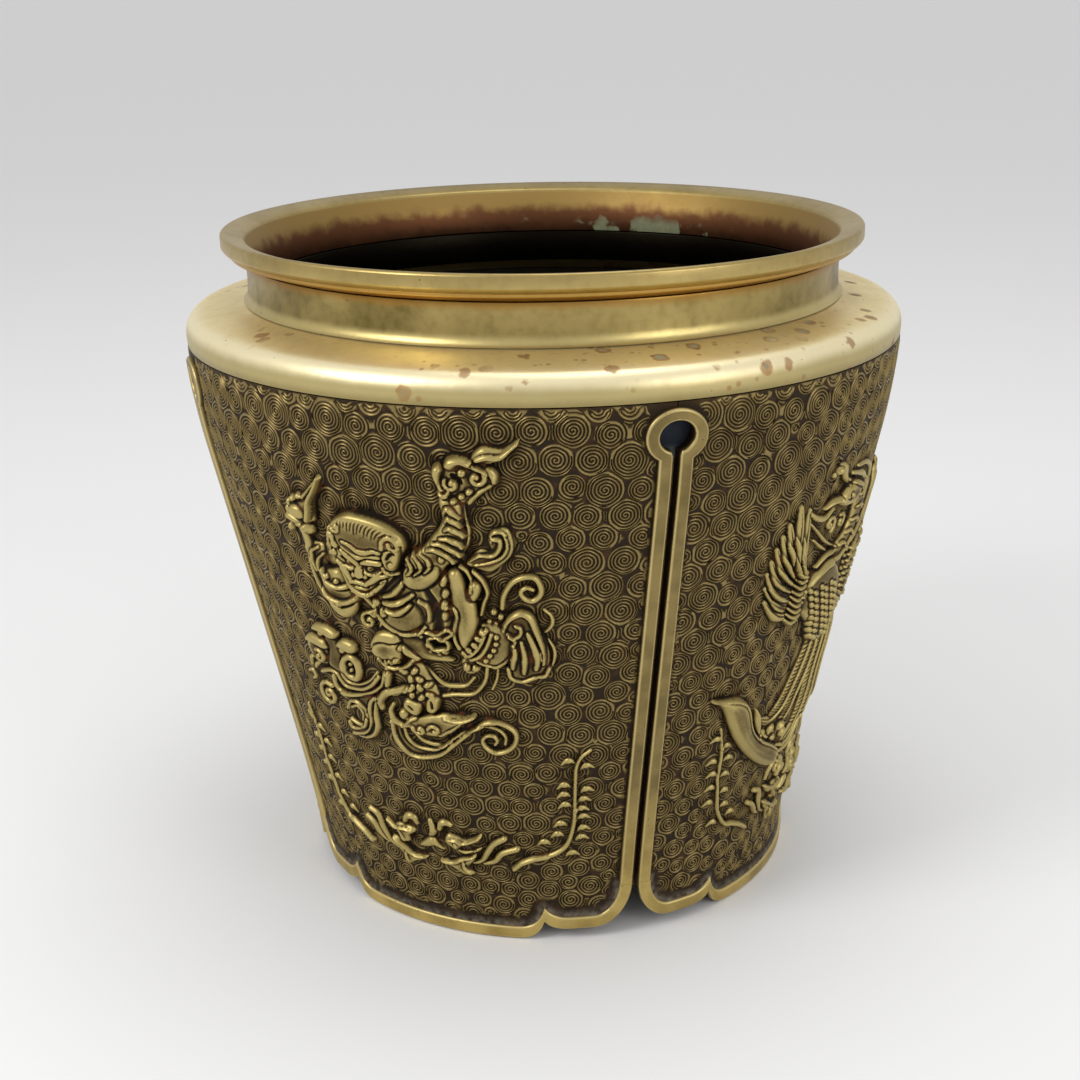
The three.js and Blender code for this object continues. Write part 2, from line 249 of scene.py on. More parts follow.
class Nodes:
    """The node tree of one material or world."""

    def __init__(self, tree: bpy.types.NodeTree) -> None:
        """Empties the tree and keeps it."""
        tree.nodes.clear()
        self.tree = tree

    def add(
        self,
        kind: str,
        settings: Mapping[str, object] | None = None,
        inputs: Mapping[int | str, object] | None = None,
        output: int | str = 0,
    ) -> Wire:
        """Adds a node, sets it and fills its sockets.

        Args:
            kind: Blender's name for the node's type.
            settings: The node's own properties, set before its sockets.
            inputs: Values or wires for its sockets, by name or place.
            output: The output socket to hand back.

        Returns:
            The wire that leaves the node.
        """
        node = self.tree.nodes.new(kind)
        for name, value in (settings or {}).items():
            setattr(node, name, value)
        for key, value in (inputs or {}).items():
            if isinstance(value, Wire):
                self.tree.links.new(value.socket, node.inputs[key])
            else:
                node.inputs[key].default_value = value
        return Wire(self, node.outputs[output])

    def show(self, shader: Wire, kind: str) -> None:
        """Links a shader to an output node of the kind named."""
        out = self.tree.nodes.new(kind)
        self.tree.links.new(shader.socket, out.inputs["Surface"])

    def place(self) -> Wire:
        """Object coordinates, in metres."""
        return self.add("ShaderNodeTexCoord", output="Object")

    def reach(self) -> Wire:
        """Measures how far points lie from the vessel's axis.

        Returns:
            The distance in millimetres.
        """
        flat = self.add("ShaderNodeVectorMath", {"operation": "MULTIPLY"}, {0: self.place(), 1: (1, 1, 0)})
        length = self.add("ShaderNodeVectorMath", {"operation": "LENGTH"}, {0: flat}, output="Value")
        return length * (1 / MM)

    def axis(self, name: str) -> Wire:
        """One coordinate of the object, X, Y or Z, in millimetres."""
        return self.add("ShaderNodeSeparateXYZ", inputs={0: self.place()}, output=name) * (1 / MM)

    def noise(self, size: float, detail: float, seed: float) -> Wire:
        """Noise from 0 to 1, with patches of a size in millimetres and octaves of finer detail."""
        inputs = {"Vector": self.place(), "W": seed, "Scale": 1 / (size * MM), "Detail": detail}
        return self.add("ShaderNodeTexNoise", {"noise_dimensions": "4D"}, inputs)

    def cells(self, size: float, seed: float) -> Wire:
        """Distance to the nearest of scattered points, in cells of a size in millimetres."""
        inputs = {"Vector": self.place(), "W": seed, "Scale": 1 / (size * MM)}
        return self.add("ShaderNodeTexVoronoi", {"voronoi_dimensions": "4D"}, inputs)

    def attribute(self, name: str) -> Wire:
        """A number that the mesh carries at its points."""
        return self.add("ShaderNodeAttribute", {"attribute_name": name}, output="Fac")

    def mix(self, share: object, first: object, second: object) -> Wire:
        """Mixes two colours: the first at a share of 0, the second at 1."""
        return self.add("ShaderNodeMix", {"data_type": "RGBA"}, {0: share, 6: first, 7: second}, output=2)

    def bump(self, height: Wire, depth: float) -> Wire:
        """A normal from a height of 0 to 1 that stands for a depth in millimetres."""
        inputs = {"Height": height, "Strength": 1.0, "Distance": depth * MM}
        return self.add("ShaderNodeBump", inputs=inputs)


@dataclass(frozen=True)
class Finish:
    """A finish of the bronze, made into one material."""

    name: str
    slot: str

    def dress(self, nodes: Nodes) -> dict[str, object]:
        """Values and wires for the bronze shader's sockets."""
        raise NotImplementedError

    def material(self) -> bpy.types.Material:
        """Makes the material, once for each name.

        Returns:
            The material.
        """
        made = bpy.data.materials.get(self.name)
        if made:
            return made
        made = bpy.data.materials.new(self.name)
        made.use_nodes = True
        nodes = Nodes(made.node_tree)
        shader = nodes.add("ShaderNodeBsdfPrincipled", inputs=self.dress(nodes))
        nodes.show(shader, "ShaderNodeOutputMaterial")
        return made


def points_of(text: str) -> np.ndarray:
    """Reads a stroke, a first place and then steps, such as "3,4 2,2", into rows of across and up."""
    return np.cumsum([[float(number) for number in pair.split(",")] for pair in text.split()], axis=0)


def smooth(points: np.ndarray, closed: bool = False, steps: int = 5) -> np.ndarray:
    """Draws a soft curve through points.

    Args:
        points: Rows of across and up.
        closed: Whether the curve returns to its start.
        steps: Pieces that each span is cut into.

    Returns:
        Rows of the curve's points.
    """
    if len(points) < 3:
        return points
    if closed:
        padded = np.vstack([points[-1], points, points[0], points[1]])
    else:
        padded = np.vstack([2 * points[0] - points[1], points, 2 * points[-1] - points[-2]])
    share = np.linspace(0, 1, steps, endpoint=False)[:, None]
    spans = []
    for a, b, c, d in zip(padded, padded[1:], padded[2:], padded[3:]):
        bend = 2 * b + (c - a) * share + (2 * a - 5 * b + 4 * c - d) * share**2
        spans.append(0.5 * (bend + (3 * b - a - 3 * c + d) * share**3))
    return np.vstack([*spans, points[:1] if closed else points[-1:]])


def line_gap(places: np.ndarray, line: np.ndarray) -> tuple[np.ndarray, np.ndarray]:
    """Measures places against a line.

    Args:
        places: Across and up of the places.
        line: Rows of the line's points.

    Returns:
        The distance of each place to the line, and the share of the line run through there.
    """
    start, run = line[:-1], line[1:] - line[:-1]
    length = np.maximum((run**2).sum(axis=1), 1e-9)
    from_x, from_y = places[..., :1] - start[:, 0], places[..., 1:] - start[:, 1]
    along = np.clip((from_x * run[:, 0] + from_y * run[:, 1]) / length, 0, 1)
    gap = np.hypot(from_x - along * run[:, 0], from_y - along * run[:, 1])
    nearest = gap.argmin(axis=-1)[..., None]
    share = (nearest + np.take_along_axis(along, nearest, -1)) / len(run)
    return np.take_along_axis(gap, nearest, -1)[..., 0], share[..., 0]


def inside(places: np.ndarray, outline: np.ndarray) -> np.ndarray:
    """Tells which places lie inside an outline.

    Args:
        places: Across and up of the places.
        outline: Rows of the outline's points, the last one the same as the first.

    Returns:
        True for each place inside.
    """
    x, y = places[..., 0], places[..., 1]
    found = np.zeros(x.shape, bool)
    for (x0, y0), (x1, y1) in zip(outline[:-1], outline[1:]):
        if y0 != y1:
            crosses = (y0 > y) != (y1 > y)
            found ^= crosses & (x < (x1 - x0) * (y - y0) / (y1 - y0) + x0)
    return found


def grid(low: Sequence[float], high: Sequence[float], step: float) -> np.ndarray:
    """Rows of places that lie a step apart, between two corners."""
    x, y = np.meshgrid(np.arange(low[0], high[0], step), np.arange(low[1], high[1], step))
    return np.column_stack([x.ravel(), y.ravel()])


def within(rim: np.ndarray, places: np.ndarray, margin: float) -> np.ndarray:
    """Keeps the places that lie well inside an outline.

    Args:
        rim: The outline.
        places: Rows of across and up.
        margin: How far from the outline they have to lie.

    Returns:
        The places kept.
    """
    closed = np.vstack([rim, rim[:1]])
    gap, _ = line_gap(places, closed)
    return places[inside(places, closed) & (gap > margin)]


def directions(angles: np.ndarray) -> np.ndarray:
    """Across and up of a step of 1 in each direction."""
    return np.column_stack([np.cos(angles), np.sin(angles)])


def blurred(values: np.ndarray, reach: float) -> np.ndarray:
    """Softens a field.

    Args:
        values: Its values, on a grid.
        reach: Spread of the softening in cells.

    Returns:
        The softened values.
    """
    size = int(math.ceil(3 * reach))
    weights = np.exp(-0.5 * (np.arange(-size, size + 1) / reach) ** 2)
    weights /= weights.sum()
    soft = values
    for axis in (0, 1):
        padding = [(size, size) if axis == other else (0, 0) for other in (0, 1)]
        padded = np.pad(soft, padding, mode="edge")
        count = soft.shape[axis]
        shifted = (np.take(padded, np.arange(k, k + count), axis=axis) for k in range(2 * size + 1))
        soft = sum(weight * part for weight, part in zip(weights, shifted))
    return soft


@dataclass
class Clay:
    """Heights on a grid over an opened-out stretch of wall, worked stroke by stroke."""

    left: float
    right: float
    bottom: float
    top: float
    step: float

    def __post_init__(self) -> None:
        """Lays out a bare field."""
        self.columns = np.arange(self.left, self.right + self.step / 2, self.step)
        self.rows = np.arange(self.bottom, self.top + self.step / 2, self.step)
        self.places = np.stack(np.meshgrid(self.columns, self.rows), axis=-1)
        self.height = np.full(self.places.shape[:2], SUNK)

    def _window(self, line: np.ndarray, margin: float) -> tuple[slice, slice]:
        """Finds the part of the field round a line.

        Args:
            line: Rows of its points.
            margin: How far from it the part reaches.

        Returns:
            Its rows and its columns.
        """
        low, high = line.min(axis=0) - margin, line.max(axis=0) + margin
        across = slice(*np.searchsorted(self.columns, (low[0], high[0])))
        up = slice(*np.searchsorted(self.rows, (low[1], high[1])))
        return up, across

    def mass(
        self, text: str, top: float, shoulder: float = 3.0, edge: float = 0.6, moat: float = 0.5
    ) -> None:
        """Lays on rounded masses.

        Args:
            text: Their closed outlines, with a semicolon between two.
            top: Their greatest height.
            shoulder: Distance from the edge over which it rounds up.
            edge: Height at its edge.
            moat: Depth cut into what lies beside it.
        """
        for outline in text.split(";"):
            line = smooth(points_of(outline), closed=True)
            window = self._window(line, 3)
            gap, _ = line_gap(self.places[window], line)
            within = inside(self.places[window], line)
            swell = np.sqrt(1 - (1 - np.clip(gap / shoulder, 0, 1)) ** 2)
            body = np.where(within, edge + (top - edge) * swell, edge - FALL * gap)
            here = self.height[window] - np.where(within, 0, moat * np.clip(1 - gap / 0.9, 0, 1))
            self.height[window] = np.maximum(here, body)

    def roll(
        self,
        stroke: str | np.ndarray,
        width: float,
        rise: float,
        level: float = 0.0,
        taper: Sequence[float] = (1, 1),
        moat: float = 0.42,
    ) -> None:
        """Lays rounded rolls along lines, on top of what lies there.

        Args:
            stroke: Lines as text, smoothed and with a semicolon between two, or points used as they are.
            width: The roll's width.
            rise: Its height over what lies under it.
            level: The least height of what it is laid on.
            taper: Shares of the width and rise at its start, middle and end.
            moat: Share of the rise that is cut away beside it.
        """
        as_text = isinstance(stroke, str)
        for line in [smooth(points_of(part)) for part in stroke.split(";")] if as_text else [stroke]:
            window = self._window(line, width + 3)
            gap, along = line_gap(self.places[window], line)
            share = np.interp(along, np.linspace(0, 1, len(taper)), taper)
            half = width / 2 * share
            here = self.height[window]
            raised = np.maximum(here, level) + rise * share * np.sqrt(np.clip(1 - (gap / half) ** 2, 0, 1))
            cut = here - moat * rise * np.clip(1 - (gap - half) / 0.7, 0, 1)
            self.height[window] = np.where(gap < half, raised, np.maximum(cut, level - FALL * (gap - half)))

    def groove(self, text: str, width: float, depth: float, taper: Sequence[float] = (1, 1)) -> None:
        """Cuts rounded grooves.

        Args:
            text: The lines they follow, with a semicolon between two.
            width: Their width.
            depth: Their depth.
            taper: Shares of the width along them.
        """
        for part in text.split(";"):
            line = smooth(points_of(part))
            window = self._window(line, width)
            gap, along = line_gap(self.places[window], line)
            half = width / 2 * np.interp(along, np.linspace(0, 1, len(taper)), taper)
            self.height[window] -= depth * np.clip(1 - (gap / half) ** 2, 0, 1)

    def ball(
        self,
        middles: str,
        across: float,
        rise: float,
        up: float | None = None,
        turn: float = 0.0,
        level: float = 0.0,
        moat: float = 0.45,
    ) -> None:
        """Sets alike round or oval lumps.

        Args:
            middles: Their middles.
            across: Their width.
            rise: Their height over what lies under them.
            up: Their length, if they are oval.
            turn: Turn of the ovals in degrees.
            level: The least height of what they are set on.
            moat: Share of the rise that is cut away round them.
        """
        up = up or across
        cosine, sine = math.cos(math.radians(turn)), math.sin(math.radians(turn))
        for middle in points_of(middles):
            window = self._window(middle[None], max(across, up))
            dx, dy = np.moveaxis(self.places[window] - middle, -1, 0)
            gap = np.hypot((cosine * dx + sine * dy) / (across / 2), (cosine * dy - sine * dx) / (up / 2))
            beyond = (gap - 1) * min(across, up) / 2
            here = self.height[window]
            raised = np.maximum(here, level) + rise * np.sqrt(np.clip(1 - gap**2, 0, 1))
            cut = here - moat * rise * np.clip(1 - beyond / 0.7, 0, 1)
            self.height[window] = np.where(gap < 1, raised, np.maximum(cut, level - FALL * beyond))

    def curl(
        self,
        x: float,
        y: float,
        radius: float,
        turns: float,
        start: float,
        width: float,
        rise: float,
        level: float,
        hand: int = 1,
    ) -> None:
        """Lays a roll that winds in to a point.

        Args:
            x: Across value of its middle.
            y: Up value of its middle.
            radius: Its outer radius.
            turns: How often it goes round.
            start: Angle of its outer end in degrees.
            width: The roll's width.
            rise: The roll's height.
            level: The least height of what it is laid on.
            hand: 1 to wind against the clock, -1 to wind with it.
        """
        share = np.linspace(1, 0.08, int(10 * turns) + 2)
        angle = math.radians(start) + hand * math.tau * turns * (1 - share)
        self.roll((x, y) + (radius * share)[:, None] * directions(angle), width, rise, level)

    def settle(self, broad_over: float = 2.6, most: float = 5.5, room: float = 0.6) -> None:
        """Rubs the strokes together, flattens the broad swell and holds the highest places down.

        Args:
            broad_over: Height above which the broad swell is pressed down.
            most: Height that nothing passes.
            room: How far below that the holding down starts.
        """
        soft = blurred(self.height, 0.2 / self.step)
        broad = blurred(soft, 2.2 / self.step)
        pressed = np.minimum(broad, broad_over) + 0.6 * np.maximum(broad - broad_over, 0)
        lively = pressed + 1.12 * (soft - broad)
        over = np.maximum(lively - most + room, 0)
        self.height = np.minimum(lively, most - room) + room * (1 - np.exp(-over / room))

    def sampled(self, values: np.ndarray, places: np.ndarray, beyond: float = 0.0) -> np.ndarray:
        """Reads values of the field's points at some places.

        Args:
            values: One value for each of the field's points.
            places: Across and up of the places.
            beyond: Value for places off the field.

        Returns:
            The values, blended between the grid's points.
        """
        column = (places[..., 0] - self.columns[0]) / self.step
        row = (places[..., 1] - self.rows[0]) / self.step
        rows, columns = values.shape
        off = (column < 0) | (row < 0) | (column > columns - 1.001) | (row > rows - 1.001)
        left = np.clip(column.astype(int), 0, columns - 2)
        low = np.clip(row.astype(int), 0, rows - 2)
        s, t = column - left, row - low
        lower = values[low, left] * (1 - s) + values[low, left + 1] * s
        upper = values[low + 1, left] * (1 - s) + values[low + 1, left + 1] * s
        return np.where(off, beyond, lower * (1 - t) + upper * t)


def deselect() -> None:
    """Leaves object mode with nothing selected."""
    if bpy.context.object and bpy.context.object.mode != "OBJECT":
        bpy.ops.object.mode_set(mode="OBJECT")
    bpy.ops.object.select_all(action="DESELECT")


def new_piece(name: str, points: Sequence, edges: Sequence, faces: Sequence) -> bpy.types.Object:
    """Makes a mesh piece, selected and active.

    Args:
        name: Its name.
        points: Its points, in metres.
        edges: Its loose edges.
        faces: Its faces.

    Returns:
        The piece.
    """
    deselect()
    mesh = bpy.data.meshes.new(name)
    mesh.from_pydata(points, edges, faces)
    mesh.update()
    piece = bpy.data.objects.new(name, mesh)
    bpy.context.collection.objects.link(piece)
    bpy.context.view_layer.objects.active = piece
    piece.select_set(True)
    return piece


def measured(piece: bpy.types.Object, what: str) -> np.ndarray:
    """Reads the points of a piece.

    Args:
        piece: The piece.
        what: "co" for their places or "normal" for their normals.

    Returns:
        One row for each point.
    """
    values = np.empty(3 * len(piece.data.vertices))
    piece.data.vertices.foreach_get(what, values)
    return values.reshape(-1, 3)


def mark(piece: bpy.types.Object, **marks: np.ndarray) -> None:
    """Stores numbers at a piece's points, for its finish to read.

    Args:
        piece: The piece.
        marks: For each attribute, the numbers of the first points. The others get 0.
    """
    for name, numbers in marks.items():
        others = np.zeros(len(piece.data.vertices) - len(numbers))
        stored = piece.data.attributes.new(name, "FLOAT", "POINT")
        stored.data.foreach_set("value", np.concatenate([numbers, others]))


def hand_over(piece: bpy.types.Object, node: str, finish: "Finish") -> None:
    """Dresses a piece, hangs it under the root body and hides the CAD node that it stands for.

    Args:
        piece: The piece.
        node: The CAD node that it stands for.
        finish: Its finish.
    """
    piece.data.materials.clear()
    piece.data.materials.append(finish.material())
    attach(piece, "root")
    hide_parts(node)
    log.info("%s stands for %s with %d faces", piece.name, node, len(piece.data.polygons))


def set_on(side: Side, first: bpy.types.Object, kind: str, part: str, finish: "Finish") -> None:
    """Copies a piece with its own mesh to one side of the vessel.

    Args:
        side: The side.
        first: The piece as made for the front.
        kind: First words of the copy's name.
        part: First words of its CAD node's name.
        finish: Its finish.
    """
    piece = first.copy()
    piece.data = first.data.copy()
    piece.name = piece.data.name = f"{kind}_{side.label}"
    piece.data.transform(Matrix.Rotation(side.value * QUARTER, 4, "Z"))
    bpy.context.collection.objects.link(piece)
    hand_over(piece, f"{part}_{side.label}", finish)


@dataclass(frozen=True)
class PolishedBronze(Finish):
    """Rubbed golden bronze with brown spots, verdigris and small casting pits.

    Each of its bands starts at one height, is full at the next, and has a share and a colour; the bands
    paint highlight and shade by height.
    """

    name: str = "rubbed_bronze"
    slot: str = "polished_bronze"
    bright: tuple = srgb(214, 190, 132)
    dull: tuple = srgb(160, 140, 88)
    stain: tuple = srgb(150, 98, 48)
    verdigris: tuple = srgb(122, 130, 106)
    pit: tuple = srgb(28, 20, 12)
    tarnish: float = 0.0
    stains: float = 0.0
    roughness: float = 0.3
    metallic: float = 1.0
    dark_within: float = 106.2
    # near black for faces nearer the axis than dark_within: painted shade inside the vessel
    inner_dark: tuple = srgb(24, 21, 15)
    bands: tuple[tuple[float, float, float, tuple], ...] = ()

    def dress(self, nodes: Nodes) -> dict[str, object]:
        """Lays out colours and textures, with bands of painted highlight and painted shade between two
        heights.

        Args:
            nodes: The material's nodes.

        Returns:
            Values and wires for the bronze shader's sockets.
        """
        cloud = nodes.noise(26, 4, seed=1.0).step(0.38, 0.66)
        fine = nodes.noise(3.2, 4, seed=2.0).step(0.4, 0.75)
        dulled = cloud * (0.35 + 0.5 * self.tarnish) + fine * 0.22 + self.tarnish * 0.5
        metal = nodes.mix(dulled, self.bright, self.dull)
        height = nodes.axis("Z") + nodes.noise(7, 4, seed=15.0) * 1.6 - 0.8
        # bands by height: painted highlight and painted shade
        for start, full, share, colour in self.bands:
            metal = nodes.mix(height.step(start, full) * share, metal, colour)
        side = nodes.axis("X").step(-60, 100)
        speck = nodes.cells(9, seed=5.0) + (nodes.noise(2.2, 3, seed=6.0) - 0.5) * 0.24
        chance = (nodes.noise(24, 1, seed=8.0) + side * 0.14).step(0.5, 0.64) * self.stains
        spotted = speck.step(0.36, 0.28) * chance
        bloomed = speck.step(0.24, 0.17) * chance * side
        freckled = nodes.cells(4.2, seed=9.0).step(0.3, 0.16) * chance
        metal = nodes.mix(freckled * 0.5, metal, self.stain)
        metal = nodes.mix(spotted * 0.68, metal, self.stain)
        metal = nodes.mix(bloomed * 0.7, metal, self.verdigris)
        pitted = nodes.cells(3.1, seed=3.0).step(0.13, 0.07) * nodes.noise(9, 2, seed=4.0).step(0.5, 0.6)
        metal = nodes.mix(pitted * 0.85, metal, self.pit)
        # painted shade: faces nearer the axis than dark_within go near black
        metal = nodes.mix(nodes.reach().step(self.dark_within, self.dark_within - 0.6), metal, self.inner_dark)
        scuffed = nodes.noise(1.1, 3, seed=7.0)
        return {
            "Base Color": metal,
            "Metallic": self.metallic - bloomed * 0.6 - pitted * 0.4,
            "Roughness": self.roughness + dulled * 0.1 + scuffed * 0.08 + bloomed * 0.3 + spotted * 0.1,
            "Normal": nodes.bump(fine * 0.5 + scuffed * 0.3 - pitted, 0.05),
        }


@dataclass(frozen=True)
class MouthBronze(PolishedBronze):
    """Polished bronze whose throat darkens downwards to verdigris over its lower edge."""

    name: str = "mouth_bronze"
    dark_within: float = 90.0
    throat: tuple = srgb(158, 130, 76)
    throat_brown: tuple = srgb(110, 72, 48)
    throat_dark: tuple = srgb(60, 42, 32)
    crust_green: tuple = srgb(140, 148, 112)
    crust_place: tuple = (0.0, 104.0, 226.0)

    def dress(self, nodes: Nodes) -> dict[str, object]:
        """Lays out the finish's colours and textures.

        Args:
            nodes: The material's nodes.

        Returns:
            Values and wires for the bronze shader's sockets.
        """
        sockets = super().dress(nodes)
        height = nodes.axis("Z") + nodes.noise(6, 5, seed=11.0) * 10 - 5
        within = nodes.reach().step(107.4, 106.9)
        brown = nodes.mix(height.step(236.5, 231), self.throat, self.throat_brown)
        deep = nodes.mix(height.step(229, 223) * 0.6, brown, self.throat_dark)
        patch = nodes.add(
            "ShaderNodeVectorMath",
            {"operation": "DISTANCE"},
            {0: nodes.place(), 1: tuple(value * MM for value in self.crust_place)},
            output="Value",
        )
        near = (patch * (1 / MM)).step(40, 8)
        crust = height.step(232, 226) * (nodes.noise(9, 4, seed=12.0) + near * 0.22).step(0.65, 0.72)
        mottle = 0.45 + nodes.noise(2.0, 4, seed=13.0) * 0.7
        inner = nodes.mix(crust * mottle, deep, self.crust_green)
        sockets["Base Color"] = nodes.mix(within, sockets["Base Color"], inner)
        sockets["Metallic"] = sockets["Metallic"] * (1 - within * crust * 0.8)
        sockets["Roughness"] = sockets["Roughness"] + within * 0.16
        return sockets


@dataclass(frozen=True)
class BorderBronze(Finish):
    """Borders, olive on the legs and gold round the foot, darker in their corners, slightly pitted, with a
    painted highlight on their rounded edges.
    """

    name: str = "olive_border_bronze"
    slot: str = "border_bronze"
    gold: tuple = srgb(150, 131, 84)
    olive: tuple = srgb(110, 96, 60)
    # paler gold for the rounded edges: a painted highlight
    rubbed: tuple = srgb(206, 186, 128)
    foot_gold: tuple = srgb(206, 182, 112)
    foot_olive: tuple = srgb(160, 138, 80)
    pit: tuple = srgb(40, 29, 18)

    def dress(self, nodes: Nodes) -> dict[str, object]:
        """Lays out the finish's colours and textures.

        Args:
            nodes: The material's nodes.

        Returns:
            Values and wires for the bronze shader's sockets.
        """
        worn = nodes.attribute("wear")
        edge = nodes.attribute("edge")
        cloud = nodes.noise(13, 4, seed=21.0).step(0.36, 0.66)
        grain = nodes.noise(1.3, 4, seed=22.0)
        spread = cloud * 0.7 + grain * 0.2
        foot = nodes.mix(spread, self.foot_gold, self.foot_olive)
        height = nodes.axis("Z")
        metal = nodes.mix(height.step(70, 16), nodes.mix(spread, self.gold, self.olive), foot)
        # painted highlight on the rounded edges that the edge attribute marks
        metal = nodes.mix(edge * 0.8, metal, self.rubbed)
        pitted = nodes.cells(2.0, seed=23.0).step(0.2, 0.1) * nodes.noise(6, 2, seed=24.0).step(0.42, 0.6)
        dark = (1 - worn) * 0.85 + pitted * 0.6
        return {
            "Base Color": nodes.mix(dark, metal, self.pit),
            "Metallic": 1 - pitted * 0.3,
            "Roughness": 0.4 + grain * 0.12 + (1 - worn) * 0.15,
            "Normal": nodes.bump(grain * 0.6 - pitted, 0.07),
        }


@dataclass(frozen=True)
class CarvedBronze(Finish):
    """Patinated bronze, dark brown in its hollows and rubbed to brass on its ridges."""

    name: str = "carved_bronze"
    slot: str = "relief_bronze"
    rubbed: tuple = srgb(182, 164, 105)
    olive: tuple = srgb(92, 76, 44)
    hollow: tuple = srgb(26, 18, 12)
    rust: tuple = srgb(126, 70, 34)
    low: float = 0.36
    high: float = 0.86

    def dress(self, nodes: Nodes) -> dict[str, object]:
        """Lays out the finish's colours and textures.

        Args:
            nodes: The material's nodes.

        Returns:
            Values and wires for the bronze shader's sockets.
        """
        cloud = nodes.noise(17, 4, seed=31.0)
        grain = nodes.noise(1.0, 4, seed=32.0)
        worn = nodes.attribute("wear") + (cloud - 0.5) * 0.32 + (grain - 0.5) * 0.22
        shade = nodes.attribute("shade")
        lit = worn.step(self.low, self.high) * (1 - shade * 0.7)
        metal = nodes.mix(lit, self.olive, self.rubbed)
        sunk = worn.step(self.low + 0.04, self.low - 0.2) * 0.93
        brown = nodes.mix(nodes.noise(5, 3, seed=33.0).step(0.5, 0.66) * 0.6, self.hollow, self.rust)
        metal = nodes.mix(sunk, metal, brown)
        metal = nodes.mix(shade * 0.75, metal, self.hollow)
        return {
            "Base Color": metal,
            "Metallic": 1 - sunk * 0.25,
            "Roughness": 0.56 - lit * 0.18 + grain * 0.12,
            "Normal": nodes.bump(grain, 0.06),
        }


@dataclass(frozen=True)
class SpiralBronze(CarvedBronze):
    """The spiral ground's patina: olive brass on the crests, brown between them."""

    name: str = "spiral_bronze"
    slot: str = "spiral_ground"
    rubbed: tuple = srgb(142, 124, 80)
    olive: tuple = srgb(80, 65, 40)
    hollow: tuple = srgb(44, 33, 22)
    rust: tuple = srgb(84, 56, 34)
    # grey over the hollow above the hem: dust, and partly a painted reflection
    dust: tuple = srgb(122, 114, 98)
    low: float = 0.4
    high: float = 0.95

    def dress(self, nodes: Nodes) -> dict[str, object]:
        """Lays out the finish's colours and textures, with grey over the hollow above the hem: dust, and
        partly a painted reflection.

        Args:
            nodes: The material's nodes.

        Returns:
            Values and wires for the bronze shader's sockets.
        """
        sockets = super().dress(nodes)
        # grey over the hem's hollow: dust, and partly a painted reflection
        dusty = nodes.attribute("dust") * nodes.noise(2.4, 4, seed=36.0).step(0.25, 0.7)
        sockets["Base Color"] = nodes.mix(dusty, sockets["Base Color"], self.dust)
        sockets["Metallic"] = sockets["Metallic"] * (1 - dusty * 0.5)
        return sockets


@dataclass(frozen=True)
class DarkBronze(Finish):
    """Dark oxidised bronze of the inner vessel, dusty where it shows through the keyholes; its outer face
    is painted lighter brown for light in the slits, with a painted blue-grey reflection in the keyholes.
    """

    name: str = "dark_bronze"
    slot: str = "dark_interior"
    brown: tuple = srgb(76, 68, 52)
    inner_dark: tuple = srgb(58, 60, 50)
    # lighter brown for the outer face: painted light where it shows through the slits
    slit: tuple = srgb(128, 104, 74)
    # blue-grey where the outer face shows through the keyholes: a painted reflection
    painted_blue_sheen: tuple = srgb(44, 50, 58)
    dust: tuple = srgb(150, 150, 146)
    keyhole_low: float = 184.0

    def dress(self, nodes: Nodes) -> dict[str, object]:
        """Lays out the finish's colours and textures.

        Args:
            nodes: The material's nodes.

        Returns:
            Values and wires for the bronze shader's sockets.
        """
        cloud = nodes.noise(22, 4, seed=41.0).step(0.35, 0.65)
        grain = nodes.noise(1.6, 4, seed=42.0)
        outward = nodes.attribute("outward")
        height = nodes.axis("Z")
        shown = outward * height.step(self.keyhole_low, self.keyhole_low + 3)
        dusty = shown * height.step(self.keyhole_low + 7, self.keyhole_low + 3) * (0.2 + grain * 0.5)
        # painted light: the outer face is lighter brown
        metal = nodes.mix(outward, nodes.mix(cloud, self.brown, self.inner_dark), self.slit)
        # painted reflection: blue-grey where the outer face shows through the keyholes
        metal = nodes.mix(shown, metal, self.painted_blue_sheen)
        return {
            "Base Color": nodes.mix(dusty, metal, self.dust),
            "Metallic": 0.85 - dusty * 0.6,
            "Roughness": 0.62 + grain * 0.2,
            "Normal": nodes.bump(grain, 0.1),
        }


def arc(
    x: float, y: float, radius: float, start: float, end: float, steps: int, flat: float = 1.0
) -> list[tuple[float, float]]:
    """Points of an arc, flattened to a share of its height, between two angles in degrees."""
    angles = np.radians(np.linspace(start, end, steps + 1))
    return [(x + radius * math.cos(angle), y + flat * radius * math.sin(angle)) for angle in angles]


